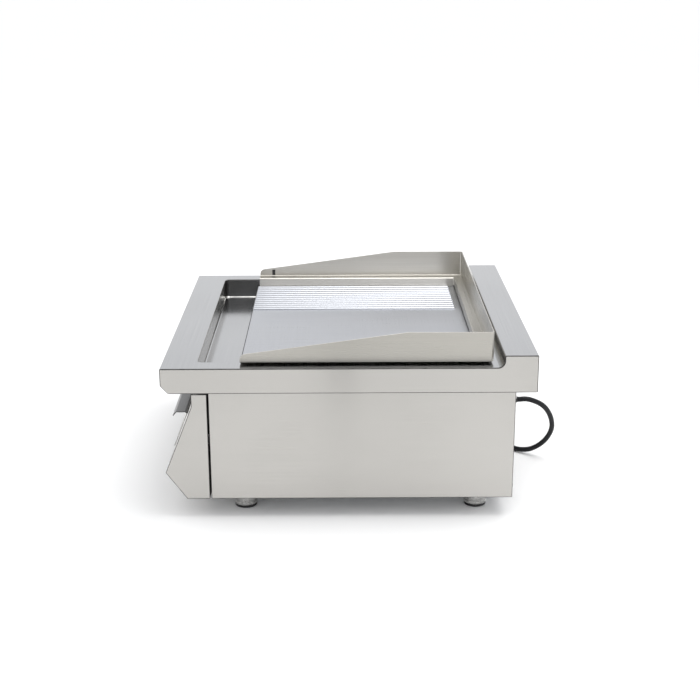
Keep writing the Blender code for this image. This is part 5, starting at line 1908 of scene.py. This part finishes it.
@dataclass
class SupplyCord:
    """Cord with its strain relief, its tied coil and its plug."""

    radius: float = 0.0045
    length: float = 1.6
    gland: Point = (0.105, 0.266, 0.135)
    coil: tuple[float, float] = (-0.350, 0.300)
    spacing: float = 0.005
    plug_end: Point = (-0.3995, 0.323, 0.0376)
    plug_centre: Point = (-0.3995, 0.300, 0.0376)
    plug_length: float = 0.046
    plug_radius: float = 0.018

    def _coil_line(self) -> Array:
        """The coil's centreline: an outer, an inner and an upper turn, then up to the plug.

        A point is the centre + r (cos a, sin a) at height z; r and z ease from one turn's value
        to the next, and the last stretch rises as a smooth step.

        Returns:
            (n, 3) points.
        """
        angle = np.radians(np.arange(90, 90 + 3 * 360 + 66, 9.0))
        turns = (angle - angle[0]) / (2 * np.pi)
        stops = [0.0, 0.92, 1.08, 1.90, 2.12, 2.78, 3.18]
        radii = [0.05425, 0.05425, 0.04475, 0.04475, 0.0495, 0.0495, 0.0500]
        heights = [0.0058, 0.0058, 0.0058, 0.0058, 0.0137, 0.0150, 0.0370]
        radius = np.interp(turns, stops, radii)
        height = np.interp(turns, stops, heights)
        x = self.coil[0] + radius * np.cos(angle)
        y = self.coil[1] + radius * np.sin(angle)
        return np.column_stack([x, y, height])

    def line(self) -> Array:
        """The whole centreline, 5 mm between points, on one smooth curve.

        Returns:
            (n, 3) points.
        """
        stops = np.concatenate([CORD_ROUTE, self._coil_line(), [self.plug_end]])
        before = np.concatenate([[2 * stops[0] - stops[1]], stops[:-1]])
        after = np.concatenate([stops[1:], [2 * stops[-1] - stops[-2]]])
        slope = (after - before) / 2
        share = np.linspace(0, 1, 12, endpoint=False)[None, :, None]
        first, second = stops[:-1, None], stops[1:, None]
        lead, trail = slope[:-1, None], slope[1:, None]
        cube, square = share**3, share**2
        fine = (
            (2 * cube - 3 * square + 1) * first
            + (cube - 2 * square + share) * lead
            + (3 * square - 2 * cube) * second
            + (cube - square) * trail
        )
        fine = np.concatenate([fine.reshape(-1, 3), stops[-1:]])
        return even_line(fine, round(lengths_of(fine)[-1] / self.spacing) + 1)

    def build(self) -> None:
        line = self.line()
        curve = bpy.data.curves.new("supply_cord", "CURVE")
        curve.dimensions = "3D"
        curve.bevel_depth = self.radius
        curve.bevel_resolution = 6
        curve.use_fill_caps = True
        spline = curve.splines.new("POLY")
        spline.points.add(len(line) - 1)
        spline.points.foreach_set("co", np.column_stack([line, np.ones(len(line))]).ravel())
        spline.use_smooth = True
        curve.materials.append(Finishes.CORD.material())
        cord = bpy.data.objects.new("supply_cord", curve)
        bpy.context.scene.collection.objects.link(cord)
        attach(cord, "griddle_body")
        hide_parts("power_cord", "cord_coil")
        pieces = [self._strain_relief(), self._tie(), self._plug()]
        pins = [dress("plug_pin_" + side.value, Finishes.PINS) for side in Side]
        LOG.info("supply_cord: %.3f m long", lengths_of(line)[-1])

    def _strain_relief(self) -> bpy.types.Object:
        """A hexagonal gland nut and a tapered rubber nose with rings.

        Returns:
            The piece.
        """
        angle = np.linspace(0, 2 * np.pi, 72, endpoint=False)
        hexagon = math.cos(math.pi / 6) / np.cos((angle % (math.pi / 3)) - math.pi / 6)
        nut = [(0.0, 0.0003), (0.0112, 0.0003), (0.0125, 0.0012), (0.0125, 0.0085)]
        nut.append((0.0116, 0.0095))
        thread = [(0.0, -0.012), (0.0098, -0.012), (0.0098, 0.0005)]
        share = np.linspace(0, 1, 61)
        wave = 0.00045 * np.cos(share * 2 * np.pi * 7) * (share < 0.97)
        nose = np.column_stack([0.0098 - 0.0046 * share + wave, 0.0095 + 0.0205 * share])
        ring = np.stack([hexagon * np.cos(angle), hexagon * np.sin(angle)], axis=1)
        loops = [np.column_stack([r * ring, np.full(len(ring), z)]) for r, z in nut]
        shape = Surface.grid(np.stack(loops), loop=True) + Surface.turned(thread, 48)
        shape = shape + Surface.turned(np.concatenate([[(0.0, 0.0094)], nose, [(0.0, 0.030)]]), 48)
        place = Place("griddle_body", "black_plastic", ("cable_gland",))
        shape = shape.placed(facing(self.gland, (0, 1, 0)))
        return make_piece("cord_strain_relief", shape, [Finishes.RUBBER], place)

    @staticmethod
    def _tie() -> bpy.types.Object:
        """The band round the coil, with soft edges."""
        return soften("cord_tie", Finishes.BLACK, "black_plastic", FINE_EDGE)

    def _plug(self) -> bpy.types.Object:
        """Round-pin plug: a turned body with finger grooves and a tapered neck.

        Returns:
            The piece.
        """
        half = self.plug_length / 2
        line = rounded(
            [
                (0.0, -half),
                (0.0060, -half),
                (0.0076, -half + 0.010),
                (0.0140, half - 0.028),
                (self.plug_radius, half - 0.020),
                (self.plug_radius, half),
                (0.0, half),
            ],
            (0.0006, 0.004, 0.004, 0.004, 0.0012),
            5,
        )
        profile = even_line(line, 90)
        angle = np.linspace(0, 2 * np.pi, 96, endpoint=False)
        radius, height = profile[:, :1], profile[:, 1:]
        window = np.clip(1 - ((height - 0.004) / 0.008) ** 2, 0, 1) * (radius > 0.01)
        groove = 0.0005 * window * (0.5 + 0.5 * np.cos(angle * 24)[None, :])
        swell, level = radius - groove, height + 0 * angle
        points = np.stack([swell * np.cos(angle), swell * np.sin(angle), level], axis=-1)
        shape = Surface.grid(points, loop=True).placed(facing(self.plug_centre, (0, -1, 0)))
        place = Place("griddle_body", "black_rubber", ("plug",))
        return make_piece("plug_body", shape, [Finishes.RUBBER], place)


# ---------------------------------------------------------------------- studio


@dataclass(frozen=True)
class Softbox:
    """A rectangular light; a glossy one is seen in reflections and lights nothing else."""

    name: str
    place: Point
    target: Point
    size: tuple[float, float]
    power: float
    glossy: bool = False

    def build(self) -> None:
        """Add the light, facing its target."""
        data = bpy.data.lights.new(self.name, "AREA")
        data.shape = "RECTANGLE"
        data.size, data.size_y = self.size
        data.energy = self.power
        obj = bpy.data.objects.new(self.name, data)
        direction = Vector(self.target) - Vector(self.place)
        obj.rotation_euler = direction.to_track_quat("-Z", "Y").to_euler()
        obj.location = self.place
        obj.visible_diffuse = not self.glossy
        bpy.context.scene.collection.objects.link(obj)


@dataclass(frozen=True)
class Card:
    """A dark cloth card upright beside the griddle, seen only in reflections."""

    name: str
    grey: float
    x: float
    y: tuple[float, float]
    z: tuple[float, float]

    def build(self) -> None:
        """Stand the card up."""
        (near, far), (low, high) = self.y, self.z
        corners = np.array([(near, low), (near, high), (far, high), (far, low)])
        points = np.column_stack([np.full(4, self.x), corners])
        mesh = Surface.facet(points).mesh(self.name)
        cloth = Finish(self.name + "_cloth", (self.grey, self.grey, self.grey), 0.9)
        mesh.materials.append(cloth.material())
        card = bpy.data.objects.new(self.name, mesh)
        card.visible_camera = card.visible_diffuse = card.visible_shadow = False
        bpy.context.scene.collection.objects.link(card)


@dataclass
class Studio:
    """Camera, pale floor and soft light."""

    eye: Point = (2.2027, -0.01215, 0.8920)
    yaw: float = 0.41
    pitch: float = 17.588
    roll: float = -0.11
    focal: float = 65.403
    world: float = 1.08
    floor_size: float = 60.0
    softboxes: tuple[Softbox, ...] = (
        Softbox("overhead", (0.0, 0.8, 2.6), (0.0, 0.1, 0.0), (2.4, 2.0), 40.0),
        Softbox("gloss", (0.0, 0.2, 2.4), (0.0, 0.2, 0.0), (2.6, 2.0), 14.0, glossy=True),
    )
    cards: tuple[Card, ...] = (
        Card("far_flag", 0.16, 3.4, (-3.2, 3.2), (0.60, 1.62)),
        Card("near_flag", 0.03, 1.50, (-0.048, 0.024), (0.0, 1.3)),
    )

    def camera(self) -> None:
        """Place the camera: it looks along -X, turned by yaw, dipped by pitch, rolled by roll."""
        data = bpy.data.cameras.new("camera")
        data.lens = self.focal
        data.sensor_width = 36.0
        data.clip_start = 0.05
        data.clip_end = 200.0
        data.dof.use_dof = False
        yaw, pitch, roll = (math.radians(a) for a in (self.yaw, self.pitch, self.roll))
        ahead = Vector((-math.cos(yaw), math.sin(yaw), 0))
        right = Vector((math.sin(yaw), math.cos(yaw), 0))
        look = ahead * math.cos(pitch) - Vector((0, 0, 1)) * math.sin(pitch)
        above = Vector((0, 0, 1)) * math.cos(pitch) + ahead * math.sin(pitch)
        side = right * math.cos(roll) + above * math.sin(roll)
        upper = above * math.cos(roll) - right * math.sin(roll)
        turn = Matrix((side, upper, -look)).transposed()
        obj = bpy.data.objects.new("camera", data)
        obj.matrix_world = Matrix.Translation(Vector(self.eye)) @ turn.to_4x4()
        bpy.context.scene.collection.objects.link(obj)
        bpy.context.scene.camera = obj

    def light(self) -> None:
        """A white surround, the soft lights, the cards and the floor."""
        scene = bpy.context.scene
        scene.view_settings.view_transform = "Standard"
        scene.view_settings.look = "None"
        scene.view_settings.exposure = 0.0
        world = bpy.data.worlds.new("surround")
        world.use_nodes = True
        backdrop = world.node_tree.nodes["Background"]
        backdrop.inputs["Color"].default_value = (0.985, 0.99, 1.0, 1.0)
        backdrop.inputs["Strength"].default_value = self.world
        scene.world = world
        for piece in (*self.softboxes, *self.cards):
            piece.build()
        self._floor()

    def _floor(self) -> None:
        """A wide pale floor just under the feet."""
        half = self.floor_size / 2
        corners = np.array([(-half, -half, 0), (half, -half, 0), (half, half, 0), (-half, half, 0)])
        mesh = Surface.facet(corners - np.array([0, 0, 0.0001])).mesh("floor")
        material = bpy.data.materials.new("pale_floor")
        tree = Tree(material)
        cloud = tree.noise((3, 3, 3), 3)
        tree.set(
            Base_Color=tree.mix(cloud, (0.93, 0.93, 0.93), (0.95, 0.95, 0.95)),
            Roughness=cloud * 0.1 + 0.6,
            Specular_IOR_Level=0.2,
        )
        mesh.materials.append(material)
        floor = bpy.data.objects.new("floor", mesh)
        bpy.context.scene.collection.objects.link(floor)


def main() -> None:
    """Build the studio, the cord and every sub-assembly in order."""
    logging.basicConfig(level=logging.INFO, format="%(name)s: %(message)s")
    studio = Studio()
    studio.camera()
    SupplyCord().build()
    Worktop().build()
    Plate().build()
    SplashGuard().build()
    Housing().build()
    Drawer().build()
    for side, x in ((Side.LEFT, -0.215), (Side.RIGHT, -0.095)):
        Controls(side, x).build()
    for end, y in (("front_", -0.173), ("rear_", 0.211)):
        for side, x in ((Side.LEFT, -0.241), (Side.RIGHT, 0.241)):
            Foot(end + side.value, x, y).build()
    studio.light()


if __name__ == "__main__":
    main()
